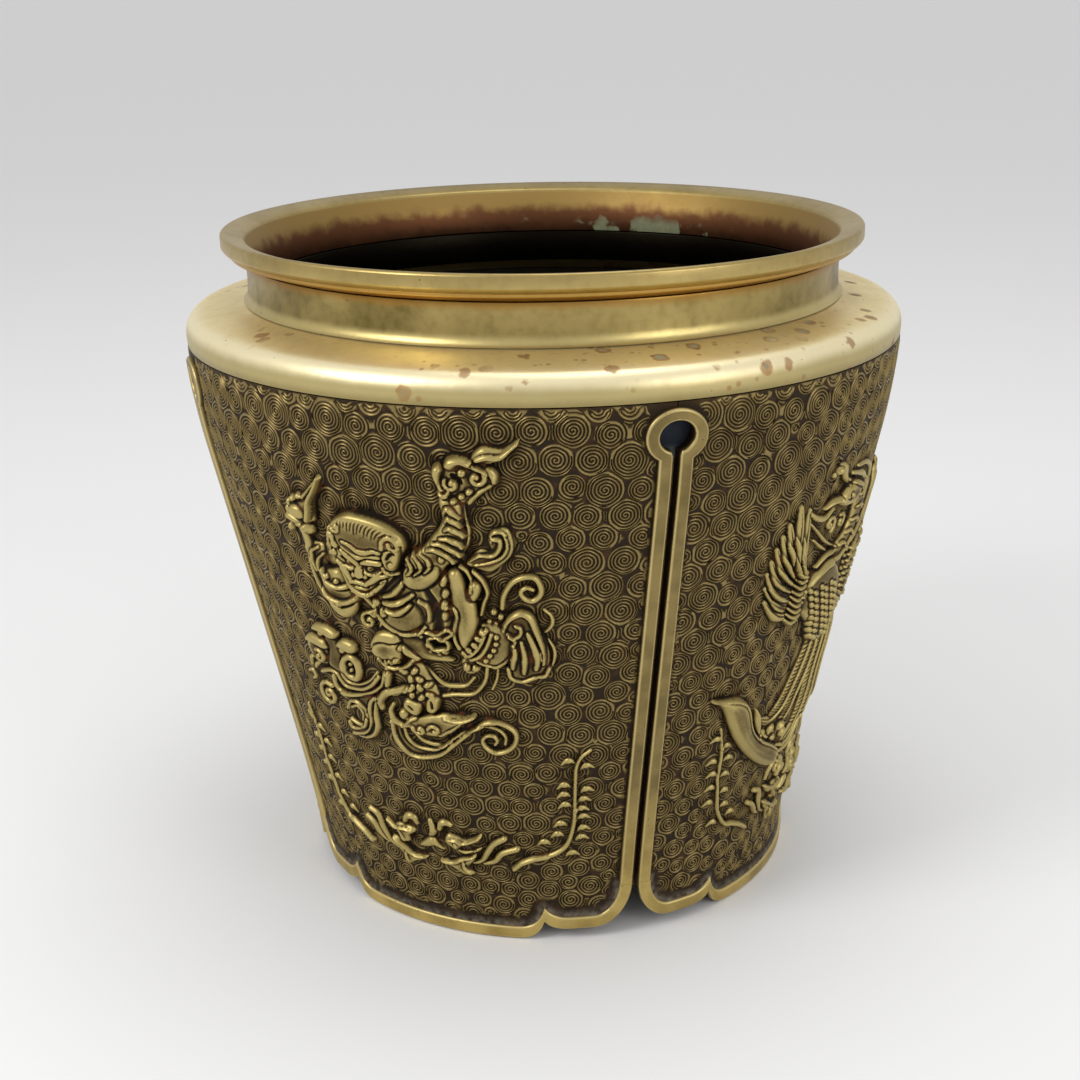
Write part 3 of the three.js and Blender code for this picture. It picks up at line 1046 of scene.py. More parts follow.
@dataclass
class TurnedPart:
    """A ring or plate of the vessel, spun from one closed profile."""

    node: str
    finish: Finish
    profile: list[tuple[float, float]]
    rounding: float = 0.3
    sharp: float = 30.0
    steps: int = 288

    def build(self) -> None:
        """Spins the profile into a closed ring and dresses it."""
        points = [(radius * MM, 0, height * MM) for radius, height in self.profile]
        edges = [(k, (k + 1) % len(points)) for k in range(len(points))]
        piece = new_piece(f"{self.node}_turned", points, edges, [])
        bpy.ops.object.mode_set(mode="EDIT")
        bpy.ops.mesh.select_all(action="SELECT")
        bpy.ops.mesh.spin(steps=self.steps, angle=math.tau, center=(0, 0, 0), axis=(0, 0, 1))
        bpy.ops.mesh.select_all(action="SELECT")
        bpy.ops.mesh.remove_doubles(threshold=0.001 * MM)
        bpy.ops.mesh.normals_make_consistent(inside=False)
        bpy.ops.object.mode_set(mode="OBJECT")
        self.round_edges(piece)
        bpy.ops.object.shade_smooth_by_angle(angle=math.radians(32))
        flat, facing = measured(piece, "co")[:, :2], measured(piece, "normal")[:, :2]
        reach = np.maximum(np.hypot(flat[:, 0], flat[:, 1]), 1e-6)
        mark(piece, outward=np.clip((flat * facing).sum(axis=1) / reach, 0, 1))
        hand_over(piece, self.node, self.finish)

    def round_edges(self, piece: bpy.types.Object) -> None:
        """Rounds the edges at which the profile turns sharply.

        Args:
            piece: The ring.
        """
        bevel = piece.modifiers.new("rounding", "BEVEL")
        bevel.limit_method = "ANGLE"
        bevel.angle_limit = math.radians(self.sharp)
        bevel.width = self.rounding * MM
        bevel.segments = 2
        bevel.use_clamp_overlap = True
        bpy.ops.object.modifier_apply(modifier=bevel.name)


@dataclass
class Vessel:
    """The turned parts: mouth, neck, shoulder, and the dark inner vessel."""

    rim_finish: Finish = MouthBronze(
        bright=srgb(184, 162, 104),
        dull=srgb(138, 118, 70),
        # painted shade under the lip: the bead and the undercut below it go darker orange gold
        bands=((237.4, 236.2, 0.6, srgb(176, 128, 48)),),
    )
    neck_finish: Finish = PolishedBronze(
        "neck_bronze",
        bright=srgb(178, 158, 100),
        dull=srgb(98, 86, 46),
        tarnish=0.3,
        roughness=0.28,
        # painted shade from the rim over the collar's top, and painted light towards its foot
        bands=((229.5, 232.6, 0.7, srgb(158, 112, 44)), (223.4, 220.6, 0.6, srgb(226, 206, 140))),
    )
    shoulder_finish: Finish = PolishedBronze(
        "shoulder_bronze",
        bright=srgb(246, 226, 166),
        dull=srgb(214, 190, 126),
        stains=1.0,
        roughness=0.34,
        metallic=0.76,
        bands=(
            # painted highlight: a near-white band along the rounded edge
            (216.6, 214.8, 0.7, srgb(255, 244, 206)),
            # painted shade: the side darkens downwards to olive at its foot
            (213.6, 209.0, 0.85, srgb(176, 158, 98)),
            (209.0, 205.4, 0.6, srgb(124, 108, 60)),
        ),
    )
    dark_finish: Finish = DarkBronze()
    skin: float = 3.3
    thickness: float = 3.0
    plain_steps: int = 160
    plate_low: float = 17.0
    plate_high: float = 20.5
    seam: float = 112.0
    gap: float = 0.3
    neck_foot: float = 219.5
    neck_radius: float = 107.5
    neck_hollow: float = 0.4

    def rim(self) -> TurnedPart:
        """Shapes the mouth: sloping lip, edge band, bead and the lining of the throat.

        Returns:
            The mouth.
        """
        bead = arc(112.0, 236.1, 1.15, -150, 20, 5)
        lip = [(115.0, 237.5), (115.8, 238.6), (115.8, 242.3), (115.3, 243.0), (114.6, 243.15)]
        throat = [(108.4, 241.35), (107.6, 240.9), (107.0, 239.8), (105.2, 236.2), (103.7, 233.0)]
        liner = [(103.0, 224.3), (105.2, 224.3), (105.2, 233.3)]
        undercut = [(107.5, 233.3), (108.1, 233.7), (109.4, 234.4)]
        profile = undercut + bead + lip + throat + liner
        return TurnedPart("mouth_rim", self.rim_finish, profile, rounding=0.22)

    def neck(self) -> TurnedPart:
        """Shapes the slightly hollow collar and its spigot.

        Returns:
            The collar.
        """
        low, high = self.neck_foot, 233.0
        outer = [(107.7, 219.4), (109.0, 218.95), (108.25, 219.55), (107.8, 220.4)]
        for share in np.linspace(0.15, 1, 9):
            hollow = self.neck_hollow * math.sin(math.pi * share)
            outer.append((self.neck_radius - hollow, low + share * (high - low)))
        inner = [(105.5, high), (105.5, 224.0), (102.0, 224.0)]
        spigot = [(102.0, 212.0), (105.0, 212.0), (105.0, low)]
        return TurnedPart("neck_collar", self.neck_finish, outer + inner + spigot)

    def shoulder(self) -> TurnedPart:
        """Shapes the plain shoulder that turns over into the body.

        Returns:
            The shoulder.
        """
        foot, inner_radius = WALL.top + self.gap, 123.4
        top = [(107.6, 219.2), (109.0, 218.55), (113.5, 217.9), (118.0, 217.1), (122.5, 216.3)]
        edge = [(125.2, 215.7), (126.6, 215.15), (127.8, 214.2), (128.8, 213.0), (129.5, 211.5)]
        face = [(129.9, 209.9), (129.95, 208.0), (WALL.radius(foot), foot), (inner_radius, foot)]
        inner = [(inner_radius, 211.0), (105.3, 214.7), (105.3, 219.2)]
        return TurnedPart("shoulder_ring", self.shoulder_finish, top + edge + face + inner)

    def ring(self, node: str, low: float, high: float) -> TurnedPart:
        """One ring of the inner vessel, behind the panels.

        Args:
            node: Its CAD node.
            low: Height of its lower edge.
            high: Height of its upper edge.

        Returns:
            The ring.
        """
        outer = [(WALL.radius(height) - self.skin, height) for height in np.linspace(low, high, 13)]
        inner = [(radius - self.thickness, height) for radius, height in reversed(outer)]
        return TurnedPart(node, self.dark_finish, outer + inner, steps=self.plain_steps)

    def build(self) -> None:
        """Makes every turned part."""
        low, high = self.plate_low, self.plate_high
        radius = WALL.radius(low) - self.skin
        plate = [(radius, low), (radius, high), (0, high), (0, low)]
        parts = (
            self.rim(),
            self.neck(),
            self.shoulder(),
            self.ring("upper_vessel", self.seam + self.gap, WALL.top),
            self.ring("lower_vessel", high + self.gap, self.seam),
            TurnedPart("base_plate", self.dark_finish, plate, steps=self.plain_steps),
        )
        for part in parts:
            part.build()


def foot_line(lift: float, tip: float, inset: float, steps: int = 6) -> np.ndarray:
    """The lobed lower line of a panel or of its hem, from its middle to the side.

    Args:
        lift: Height of the middle lobe.
        tip: Height of the pointed notch beside it.
        inset: How far the line stays in from the slit.
        steps: Pieces that each curve is cut into.

    Returns:
        Rows of across, measured along the foot's circle, and height.
    """
    cusp = math.radians(BORDER.cusp_angle) * WALL.foot_circle
    side = QUARTER / 2 * WALL.foot_circle - BORDER.slit / 2 - inset
    low, reach = BORDER.corner_lift + lift, BORDER.corner_reach - inset
    rise = BORDER.leg_foot - low
    share = np.linspace(0, 1, steps + 1)[:, None]

    def bow(start: tuple, pull: tuple, end: tuple) -> np.ndarray:
        """A quadratic curve between two points."""
        a, b, c = (np.array(point) for point in (start, pull, end))
        return (1 - share) ** 2 * a + 2 * share * (1 - share) * b + share**2 * c

    rounding = BORDER.lobe_round
    middle = np.column_stack([np.linspace(0, cusp - rounding, 9)[:-1], np.full(8, lift)])
    before = bow((cusp - rounding, lift), (cusp - 0.2 * rounding, lift), (cusp, tip))
    after = bow((cusp, tip), (cusp + 0.3 * rounding, low), (cusp + rounding, low))
    turn = np.linspace(-math.pi / 2, 0, 2 * steps)
    corner = np.column_stack([side - reach + reach * np.cos(turn), low + rise + rise * np.sin(turn)])
    return np.vstack([middle, before, after[1:], corner])


def both_halves(half: np.ndarray) -> np.ndarray:
    """A line from one side of a panel to the other, from its half that starts at the middle."""
    return np.vstack([(half * (-1, 1))[:0:-1], half])


@dataclass
class BorderSheet:
    """A flat border sheet that is thickened, edged and bent on to the wall."""

    bend: Callable[[np.ndarray, np.ndarray, np.ndarray], np.ndarray]
    outline: np.ndarray
    lift: float
    edge: float
    under: float = -0.35
    bands: float = 3.5
    narrow: float = 30.0

    def build(self, name: str) -> bpy.types.Object:
        """Makes the border.

        Args:
            name: Name of the piece.

        Returns:
            The piece, with the attributes wear, less beside its foot, and edge, on its rounded edges.
        """
        flat = [(x * MM, y * MM, self.under * MM) for x, y in self.outline]
        piece = new_piece(name, flat, [], [range(len(flat))])
        bpy.ops.object.mode_set(mode="EDIT")
        bpy.ops.mesh.select_all(action="SELECT")
        rise = (0, 0, (self.lift - self.under) * MM)
        bpy.ops.mesh.extrude_region_move(TRANSFORM_OT_translate={"value": rise})
        bpy.ops.mesh.select_all(action="SELECT")
        bpy.ops.mesh.normals_make_consistent(inside=False)
        bpy.ops.mesh.select_mode(type="EDGE")
        self.select_upper_edges(piece)
        bpy.ops.mesh.bevel(offset=self.edge * MM, segments=3, profile=0.5, clamp_overlap=True)
        low, high = self.outline.min(axis=0), self.outline.max(axis=0)
        cuts = [((0, y * MM, 0), (0, 1, 0)) for y in np.arange(low[1] + self.bands, high[1], self.bands)]
        if high[0] > self.narrow:
            cuts += [((x * MM, 0, 0), (1, 0, 0)) for x in np.arange(-70, 71, self.bands)]
        for place, way in cuts:
            bpy.ops.mesh.select_all(action="SELECT")
            bpy.ops.mesh.bisect(plane_co=place, plane_no=way)
        bpy.ops.object.mode_set(mode="OBJECT")
        self.bend_on(piece)
        bpy.ops.object.shade_smooth_by_angle(angle=math.radians(40))
        return piece

    def select_upper_edges(self, piece: bpy.types.Object) -> None:
        """Selects the outline of the upper face, but not where frame and hem butt.

        Args:
            piece: The border, in edit mode.
        """
        bpy.ops.mesh.select_all(action="DESELECT")
        shape = bmesh.from_edit_mesh(piece.data)
        top = self.lift * MM
        for line in shape.edges:
            high = all(abs(point.co.z - top) < 1e-7 for point in line.verts)
            butt = all(abs(point.co.y - BORDER.leg_foot * MM) < 1e-7 for point in line.verts)
            line.select_set(high and not butt)
        bmesh.update_edit_mesh(piece.data)

    def bend_on(self, piece: bpy.types.Object) -> None:
        """Marks the wear and moves every point on to the wall.

        Args:
            piece: The border, still flat.
        """
        x, y, lift = measured(piece, "co").T / MM
        rounded = (lift > self.lift - 0.8 * self.edge) & (lift < self.lift - 0.05)
        mark(piece, wear=np.clip((lift - 0.1) / 0.6, 0, 1), edge=rounded.astype(float))
        piece.data.vertices.foreach_set("co", (self.bend(x, y, lift) * MM).ravel())
        piece.data.update()


@dataclass
class Borders:
    """The four keyhole frames and the four lobed hems."""

    finish: Finish = BorderBronze()
    frame_edge: float = 0.9
    hem_edge: float = 1.5
    hem_lift: float = 1.8
    hem_foot: float = 0.5
    flat: float = 0.88
    throat_turn: float = 6.0
    nick: float = 1.1

    def beside_slit(self, across: np.ndarray, height: np.ndarray, lift: np.ndarray) -> np.ndarray:
        """Bends flat places on to the wall round the slit between the front and right panels.

        Args:
            across: Distances from the slit's middle.
            height: Heights over the floor.
            lift: Distances out from the wall's face.

        Returns:
            One row of x, y and z for each.
        """
        radius = WALL.radius(height)
        angle = QUARTER / 2 + np.arcsin(across / radius)
        reach = radius + lift * WALL.cosine
        return np.column_stack([reach * np.sin(angle), -reach * np.cos(angle), height - lift * WALL.sine])

    def below_panel(self, across: np.ndarray, height: np.ndarray, lift: np.ndarray) -> np.ndarray:
        """Bends flat places on to the front wall's foot, which ends just over the floor.

        Args:
            across: Distances along the foot's circle.
            height: Heights over the floor.
            lift: Distances out from the wall's face.

        Returns:
            One row of x, y and z for each.
        """
        angle = across / WALL.foot_circle
        reach = WALL.radius(height) + lift * WALL.cosine
        level = np.maximum(height - lift * WALL.sine * np.clip(height / 6, 0, 1), OFF_FLOOR)
        return np.column_stack([reach * np.sin(angle), -reach * np.cos(angle), level])

    def frame_outline(self) -> np.ndarray:
        """Lays out a keyhole frame flat, with the slit in the middle.

        Returns:
            Rows of across and height.
        """
        half, leg, foot = BORDER.slit / 2, BORDER.slit / 2 + BORDER.leg, BORDER.leg_foot
        inner = math.degrees(math.asin(half / BORDER.hole)) + self.throat_turn
        outer = math.degrees(math.asin(leg / BORDER.ring))
        hole = arc(0, BORDER.hole_height, BORDER.hole, -90 + inner, 270 - inner, 40, self.flat)
        ring = arc(0, BORDER.hole_height, BORDER.ring, 270 - outer, -90 + outer, 56, self.flat)
        throat = BORDER.hole_height - self.flat * BORDER.hole - self.nick
        right = [(half, foot), (half, throat)]
        left = [(-half, throat), (-half, foot)]
        return np.array([*right, *hole, *left, (-leg, foot), *ring, (leg, foot)])

    def hem_outline(self) -> np.ndarray:
        """Lays out a hem flat: the lobed lower line and the line that runs over it.

        Returns:
            Rows of across and height.
        """
        below = foot_line(self.hem_foot, BORDER.notch + self.hem_foot, 0.0)
        above = foot_line(BORDER.hem, BORDER.tip, BORDER.leg)
        return np.vstack([both_halves(below), both_halves(above)[::-1]])

    def build(self) -> None:
        """Makes one frame and one hem, and copies them round the vessel."""
        frame_sheet = BorderSheet(self.beside_slit, self.frame_outline(), BORDER.lift, self.frame_edge)
        hem_sheet = BorderSheet(self.below_panel, self.hem_outline(), self.hem_lift, self.hem_edge)
        keyhole, hem = frame_sheet.build("slit_frame"), hem_sheet.build("lower_hem")
        for side in Side:
            set_on(side, keyhole, "keyhole_border", "slit_frame", self.finish)
            set_on(side, hem, "lobed_hem", "lower_hem", self.finish)
        bpy.data.objects.remove(keyhole)
        bpy.data.objects.remove(hem)


@dataclass
class Coil:
    """One spiral of the ground and its neighbours."""

    middle: np.ndarray
    radius: float
    spots: np.ndarray
    radii: np.ndarray

    def clearance(self, line: np.ndarray) -> np.ndarray:
        """Measures how much nearer points lie to this spiral than to any neighbour.

        Args:
            line: Rows of across and up.

        Returns:
            The differences in distance.
        """
        apart = line[:, None] - self.spots
        gaps = np.hypot(apart[..., 0], apart[..., 1]) - self.radii
        return gaps.min(axis=1) - (np.hypot(*(line - self.middle).T) - self.radius)

    def reach(self, way: np.ndarray) -> np.ndarray:
        """Measures the room between this spiral's middle and its neighbours.

        Args:
            way: Directions, as rows of across and up.

        Returns:
            The distance in each at which a neighbour is as near as this spiral.
        """
        apart, larger = self.spots - self.middle, self.radii - self.radius
        facing = np.maximum(way @ apart.T + larger, 1e-3)
        return (((apart**2).sum(axis=1) - larger**2) / (2 * facing)).min(axis=1)

    def valley(self, spot: np.ndarray, radius: float) -> np.ndarray:
        """Points midway between this spiral and a neighbour.

        Args:
            spot: The neighbour's middle.
            radius: Its radius.

        Returns:
            Rows of across and up.
        """
        way = spot - self.middle
        apart = float(np.hypot(*way))
        way = way / apart
        middle = self.middle + way * (apart + self.radius - radius) / 2
        line = middle + np.linspace(-5.5, 5.5, 10)[:, None] * np.array([-way[1], way[0]])
        for _ in range(3):
            near = np.hypot(*(line - self.middle).T) - self.radius
            far = np.hypot(*(line - spot).T) - radius
            line = line - 0.5 * (near - far)[:, None] * way
        return line


@dataclass
class SpiralGround:
    """One panel: a wall with a lobed foot, covered with small wound spirals."""

    covered: Clay
    seed: int
    rim: float = 0.4
    filler: float = 1.9
    filler_most: float = 4.2
    crowding: float = 1.04
    pitch: float = 1.14
    crest: float = 0.46
    small: float = 8.0
    large: float = 11.4
    first_row: float = 15.0
    row_gap: float = 0.84
    side_gap: float = 4.0
    size_range: tuple[float, float] = (0.74, 1.12)
    shake: float = 0.8
    rounds: int = 60
    search_step: float = 1.1
    scatter_step: float = 1.7
    back_step: float = 12.0
    nearby: float = 16.0
    widest_valley: float = 2.2
    thickness: float = 3.0
    hollow_rise: float = 1.3
    hollow_reach: float = 2.8
    margin: float = 0.6
    deep: float = 0.97
    spacing: float = 1.45
    front_limit: float = 129.9

    def __post_init__(self) -> None:
        """Lays out the hem's upper line, and where relief covers the ground."""
        half = foot_line(BORDER.hem, BORDER.tip, BORDER.leg)
        self.random = np.random.default_rng(self.seed)
        self.hem_line = WALL.opened(*(both_halves(half) / (WALL.foot_circle, 1)).T)
        self.mask = blurred((self.covered.height > -0.3).astype(float), 1.2 / self.covered.step)
        self.depth = blurred((self.covered.height > 0.0).astype(float), 0.5 / self.covered.step)

    def room(self, places: np.ndarray) -> np.ndarray:
        """Measures how far places lie from the borders.

        Args:
            places: Rows of across and up.

        Returns:
            The distance to the nearest border, less than nothing beneath one.
        """
        angle, height = WALL.closed(places)
        beside = WALL.radius(height) * np.sin(QUARTER / 2 - np.abs(angle))
        leg = beside - BORDER.slit / 2 - BORDER.leg
        ring = np.hypot(beside, height - BORDER.hole_height) - BORDER.ring
        hem = self.over_hem(places) - self.hollow_reach
        return np.minimum.reduce([leg, ring, hem, (WALL.top - height) / WALL.cosine])

    def over_hem(self, places: np.ndarray) -> np.ndarray:
        """Distance of places to the hem's upper line, less than nothing beneath it."""
        gap, _ = line_gap(places, self.hem_line)
        return np.where(places[:, 1] > np.interp(places[:, 0], *self.hem_line.T), gap, -gap)

    def buried(self, places: np.ndarray) -> np.ndarray:
        """How deep places lie under the applied relief, from 0 to 1."""
        return self.covered.sampled(self.depth, places)

    def outline(self) -> np.ndarray:
        """Lays out the panel on the opened-out wall, with its keyhole halves.

        Returns:
            Rows of across and up.
        """
        foot = foot_line(0.0, BORDER.notch, 0.0) / (WALL.foot_circle, 1)
        start = math.degrees(math.asin(BORDER.slit / 2 / BORDER.hole))
        hole = arc(0, BORDER.hole_height, BORDER.hole, -90 - start, -270, 12)
        slit = [(-BORDER.slit / 2, height) for height in np.linspace(25, BORDER.hole_height - 6.4, 60)]
        edge = np.array([*slit, *hole])
        side = np.column_stack([QUARTER / 2 + np.arcsin(edge[:, 0] / WALL.radius(edge[:, 1])), edge[:, 1]])
        above = np.linspace(BORDER.hole_height + BORDER.hole + 1.5, WALL.top, 3)
        last = QUARTER / 2 - 0.15 / WALL.shoulder_radius
        corner = np.column_stack([np.full(3, last), above])
        top = np.column_stack([np.linspace(last, 0, 30)[1:], np.full(29, WALL.top)])
        right = np.vstack([foot, side, corner, top])
        left = (right * (-1, 1))[-2:0:-1]
        return WALL.opened(*np.vstack([right, left]).T)

    def size_at(self, up: np.ndarray | float) -> np.ndarray | float:
        """Width of a spiral at a height, growing towards the shoulder."""
        return self.small + (self.large - self.small) * up / WALL.top

    def centres(self) -> tuple[np.ndarray, np.ndarray]:
        """Sets spirals out in rows, shakes them up and pushes them apart until they fit.

        Returns:
            Their middles and their radii.
        """
        places, y, row = [], self.first_row, 0
        while y < WALL.top / WALL.cosine:
            across = self.size_at(y)
            reach = (QUARTER / 2) * WALL.radius(y * WALL.cosine) - self.side_gap
            count = int(2 * reach / across)
            for k in range(count + 1):
                x = -reach + (k + 0.5 * (row % 2)) * 2 * reach / count
                drop = y - (math.hypot(x, y + WALL.reach) - WALL.reach - y)
                places.append((x, drop))
            y += across * self.row_gap
            row += 1
        spots = np.array(places)
        radii = self.size_at(spots[:, 1]) / 2 * self.random.uniform(*self.size_range, len(spots))
        spots = spots + self.random.normal(0, self.shake, spots.shape)
        for _ in range(self.rounds):
            apart, gap = self.gaps_among(spots)
            overlap = np.maximum(radii[:, None] + radii[None] - gap, 0)
            spots = spots + (apart / gap[..., None] * overlap[..., None]).sum(axis=1) * 0.2
            low = self.over_hem(spots)
            lack = np.clip(radii + self.hollow_reach - low, 0, 1) * (low > 0)
            spots[:, 1] += 0.4 * lack
        for _ in range(6):
            _, gap = self.gaps_among(spots)
            grown = (gap - radii[None]).min(axis=1)
            radii = np.clip(0.5 * (radii + grown), 0.85 * radii, 1.12 * radii)
        kept = self.room(spots) > -0.4 * radii
        kept &= self.over_hem(spots) > self.hollow_reach + 0.6 * radii
        spots, radii = self.gaps_filled(spots[kept], radii[kept])
        return spots, radii * self.crowding

    def gaps_among(self, spots: np.ndarray) -> tuple[np.ndarray, np.ndarray]:
        """Ways and distances between all pairs of places, with each place far from itself."""
        apart = spots[:, None] - spots[None]
        return apart, np.hypot(apart[..., 0], apart[..., 1]) + np.eye(len(spots)) * 99

    def gaps_filled(self, spots: np.ndarray, radii: np.ndarray) -> tuple[np.ndarray, np.ndarray]:
        """Sets small spirals into the gaps that are wide enough.

        Args:
            spots: Middles of the spirals.
            radii: Their radii.

        Returns:
            Middles and radii with the small ones added.
        """
        tried = grid((-100, 5), (100, 210), self.search_step)
        tried = tried[self.room(tried) > 0]
        free = np.full(len(tried), 99.0)
        for spot, radius in zip(spots, radii):
            free = np.minimum(free, np.hypot(*(tried - spot).T) - radius)
        while free.max() > self.filler:
            best = tried[free.argmax()]
            radius = min(float(free.max()), self.filler_most)
            spots, radii = np.vstack([spots, best]), np.append(radii, radius)
            free = np.minimum(free, np.hypot(*(tried - best).T) - radius)
        return spots, radii

    def lines(self) -> list[tuple[np.ndarray, float]]:
        """Winds every spiral.

        Returns:
            Each crest or valley line with its share of the full height: 1 on a crest, 0 in a valley.
        """
        spots, radii = self.centres()
        _, gap = self.gaps_among(spots)
        found = []
        for k, (spot, radius) in enumerate(zip(spots, radii)):
            close = np.flatnonzero(gap[k] < self.nearby)
            coil = Coil(spot, float(radius), spots[close], radii[close])
            for line, height, least in self.spiral(coil):
                kept = self.clear(coil, line, least)
                for part in np.split(np.arange(len(line)), np.flatnonzero(np.diff(kept)) + 1):
                    if kept[part[0]] and len(part) > 2:
                        found.append((line[part], height))
            for other in close[close > k]:
                if gap[k, other] <= radius + radii[other] + self.widest_valley:
                    valley = coil.valley(spots[other], radii[other])
                    valley = valley[self.clear(coil, valley, -0.02)]
                    if len(valley) > 1:
                        found.append((valley, 0.0))
        return found

    def clear(self, coil: Coil, line: np.ndarray, least: float) -> np.ndarray:
        """Tells which points of a line are clear of the borders, the relief and other spirals."""
        alone = coil.clearance(line) > least
        return alone & (self.room(line) > self.margin) & (self.buried(line) <= self.deep)

    def spiral(self, coil: Coil) -> list[tuple[np.ndarray, float, float]]:
        """Winds one spiral, whose last turn closes in a ring and yields to its neighbours.

        Args:
            coil: The spiral and its neighbours.

        Returns:
            Each line with its share of the full height, and how clear of other spirals it has to be.
        """
        hand, phase = self.random.choice((-1, 1)), self.random.uniform(0, math.tau)
        pitch = self.pitch * self.random.uniform(0.94, 1.07)
        outer = coil.radius - self.rim
        closing = outer / pitch * math.tau
        turn, angles = 0.7 * math.pi, []
        while turn < closing + math.tau:
            angles.append(turn)
            turn += min(0.8, max(0.27, self.spacing / (pitch * turn / math.tau)))
        angles = np.array([*angles, closing + math.tau])
        crest = np.minimum(pitch * angles / math.tau, outer)
        before = pitch * (angles - math.tau) / math.tau
        clear = (angles > 1.35 * math.pi) & (crest - before > 0.5)
        halfway = 0.5 * (crest + before)
        lines = []
        for turned, reach, height in (angles, crest, 1.0), (angles[clear], halfway[clear], 0.0):
            way = directions(hand * turned + phase)
            reach = reach * np.minimum(1, (coil.reach(way) - self.rim) / outer)
            lines.append((coil.middle + reach[:, None] * way, height, -9.0))
        around = directions(hand * np.arange(0, math.tau + 0.2, self.spacing / (coil.radius + 0.8)) + phase)
        rings = (0.1, 0.0, 0.35), (0.6, 0.9, 0.3), (1.1, 0.0, 0.3), (1.6, 0.85, 0.3), (2.1, 0.0, 0.3)
        for beyond, height, least in rings:
            lines.append((coil.middle + (coil.radius + beyond) * around, height, least))
        return lines

    def lift_of(self, places: np.ndarray, share: np.ndarray) -> np.ndarray:
        """Finds how far the ground stands out from the wall.

        Args:
            places: Rows of across and up.
            share: Share of the crest height at each place.

        Returns:
            The lifts.
        """
        fade = np.clip(self.room(places) / 1.6, 0.25, 1)
        slope = self.hollow_rise * np.clip(1 - self.over_hem(places) / self.hollow_reach, 0, 1) ** 1.6
        return np.where(self.buried(places) > 0.9, -0.5, share * self.crest * fade + slope - 0.15)

    def build(self, name: str) -> bpy.types.Object:
        """Makes the panel as one closed mesh, facing the front.

        Args:
            name: Name of the piece.

        Returns:
            The panel, with the attributes wear, shade and dust; dust marks the grey over the hem, partly a
            painted reflection.
        """
        rim = self.outline()
        count = len(rim)
        ring = [(k, (k + 1) % count) for k in range(count)]
        points, shares, edges, total = [rim], [np.zeros(count)], list(ring), count
        for line, height in self.lines():
            points.append(line)
            shares.append(np.full(len(line), height))
            edges += [(total + k, total + k + 1) for k in range(len(line) - 1)]
            total += len(line)
        plain = self.plain_points(rim)
        share = np.concatenate([*shares, np.zeros(len(plain))])
        triangles, flat, share = self.triangulated(np.vstack([*points, plain]), edges, share, rim)
        coarse = within(rim, grid(rim.min(axis=0), rim.max(axis=0), self.back_step), self.back_step / 3)
        bare = np.zeros(count + len(coarse))
        back, back_points, _ = self.triangulated(np.vstack([rim, coarse]), ring, bare, rim)
        lift = self.lift_of(flat, share)
        lift[:count] = np.minimum(lift[:count], 0.0)
        front = WALL.wrapped(flat, lift)
        front[:, 1] = np.maximum(front[:, 1], -self.front_limit)
        everything = np.vstack([front, WALL.wrapped(back_points, -self.thickness)])
        everything[:, 2] = np.clip(everything[:, 2], OFF_FLOOR, WALL.top)
        start = len(front)
        faces = triangles.tolist() + (start + back[:, ::-1]).tolist()
        faces += [(k, start + k, start + (k + 1) % count, (k + 1) % count) for k in range(count)]
        piece = new_piece(name, (everything * MM).tolist(), [], faces)
        self.mark_looks(piece, flat, share)
        bpy.ops.object.shade_smooth_by_angle(angle=math.radians(24))
        return piece

    def plain_points(self, rim: np.ndarray) -> np.ndarray:
        """Scatters points over the plain stretches, beside and beneath the borders and under the relief.

        Args:
            rim: The panel's outline.

        Returns:
            Rows of across and up.
        """
        spots = grid(rim.min(axis=0), rim.max(axis=0), self.scatter_step)
        spots = spots + self.random.uniform(-0.3, 0.3, spots.shape)
        room, hem = self.room(spots), np.abs(self.over_hem(spots))
        coarse = ((np.arange(len(spots)) % 5) == 0) & (self.buried(spots) > self.deep)
        kept = ((room < 0.2) & ((room > -2.5) | (hem < self.hollow_reach))) | coarse
        return within(rim, spots[kept], 0.8)

    def triangulated(
        self, flat: np.ndarray, edges: list, share: np.ndarray, rim: np.ndarray
    ) -> tuple[np.ndarray, np.ndarray, np.ndarray]:
        """Triangulates points and keeps what lies inside the outline.

        Args:
            flat: All points, the outline's first.
            edges: The lines that the triangles must follow.
            share: Share of the crest height at each point.
            rim: The outline.

        Returns:
            The triangles, the points and their shares.
        """
        made = delaunay_2d_cdt([Vector(point) for point in flat.tolist()], edges, [], 0, 1e-5, True)
        places = np.array([tuple(point) for point in made[0]])
        new_share = np.zeros(len(places))
        order = len(flat) + np.arange(len(places))
        for new, olds in enumerate(made[3]):
            if olds:
                new_share[new] = max(share[old] for old in olds)
                order[new] = min(olds)
        faces = np.array([tuple(face) for face in made[2]])
        faces = faces[inside(places[faces].mean(axis=1), np.vstack([rim, rim[:1]]))]
        used = np.unique(faces)
        used = used[np.argsort(order[used])]
        fresh = np.full(len(places), -1)
        fresh[used] = np.arange(len(used))
        return fresh[faces], places[used], new_share[used]

    def mark_looks(self, piece: bpy.types.Object, flat: np.ndarray, share: np.ndarray) -> None:
        """Marks how rubbed and shaded each point is, and how grey the hollow over the hem is: dust, and
        partly a painted reflection.

        Args:
            piece: The panel.
            flat: Its front's points on the opened-out wall.
            share: Share of the crest height at each.
        """
        _, height = WALL.closed(flat)
        room, hem = self.room(flat), self.over_hem(flat)
        near = self.covered.sampled(self.mask, flat)
        beside = np.where(room < (WALL.top - height) / WALL.cosine - 0.01, np.maximum(room, 0), 9)
        shade = np.clip(near * 1.25, 0, 0.9) + np.clip(0.7 - beside / 2.6, 0, 0.7)
        shade = np.clip(shade * np.clip(hem / self.hollow_reach - 0.3, 0, 1), 0, 1)
        wear = share + 0.3 * np.clip((height - 199.5) / 5, 0, 1)
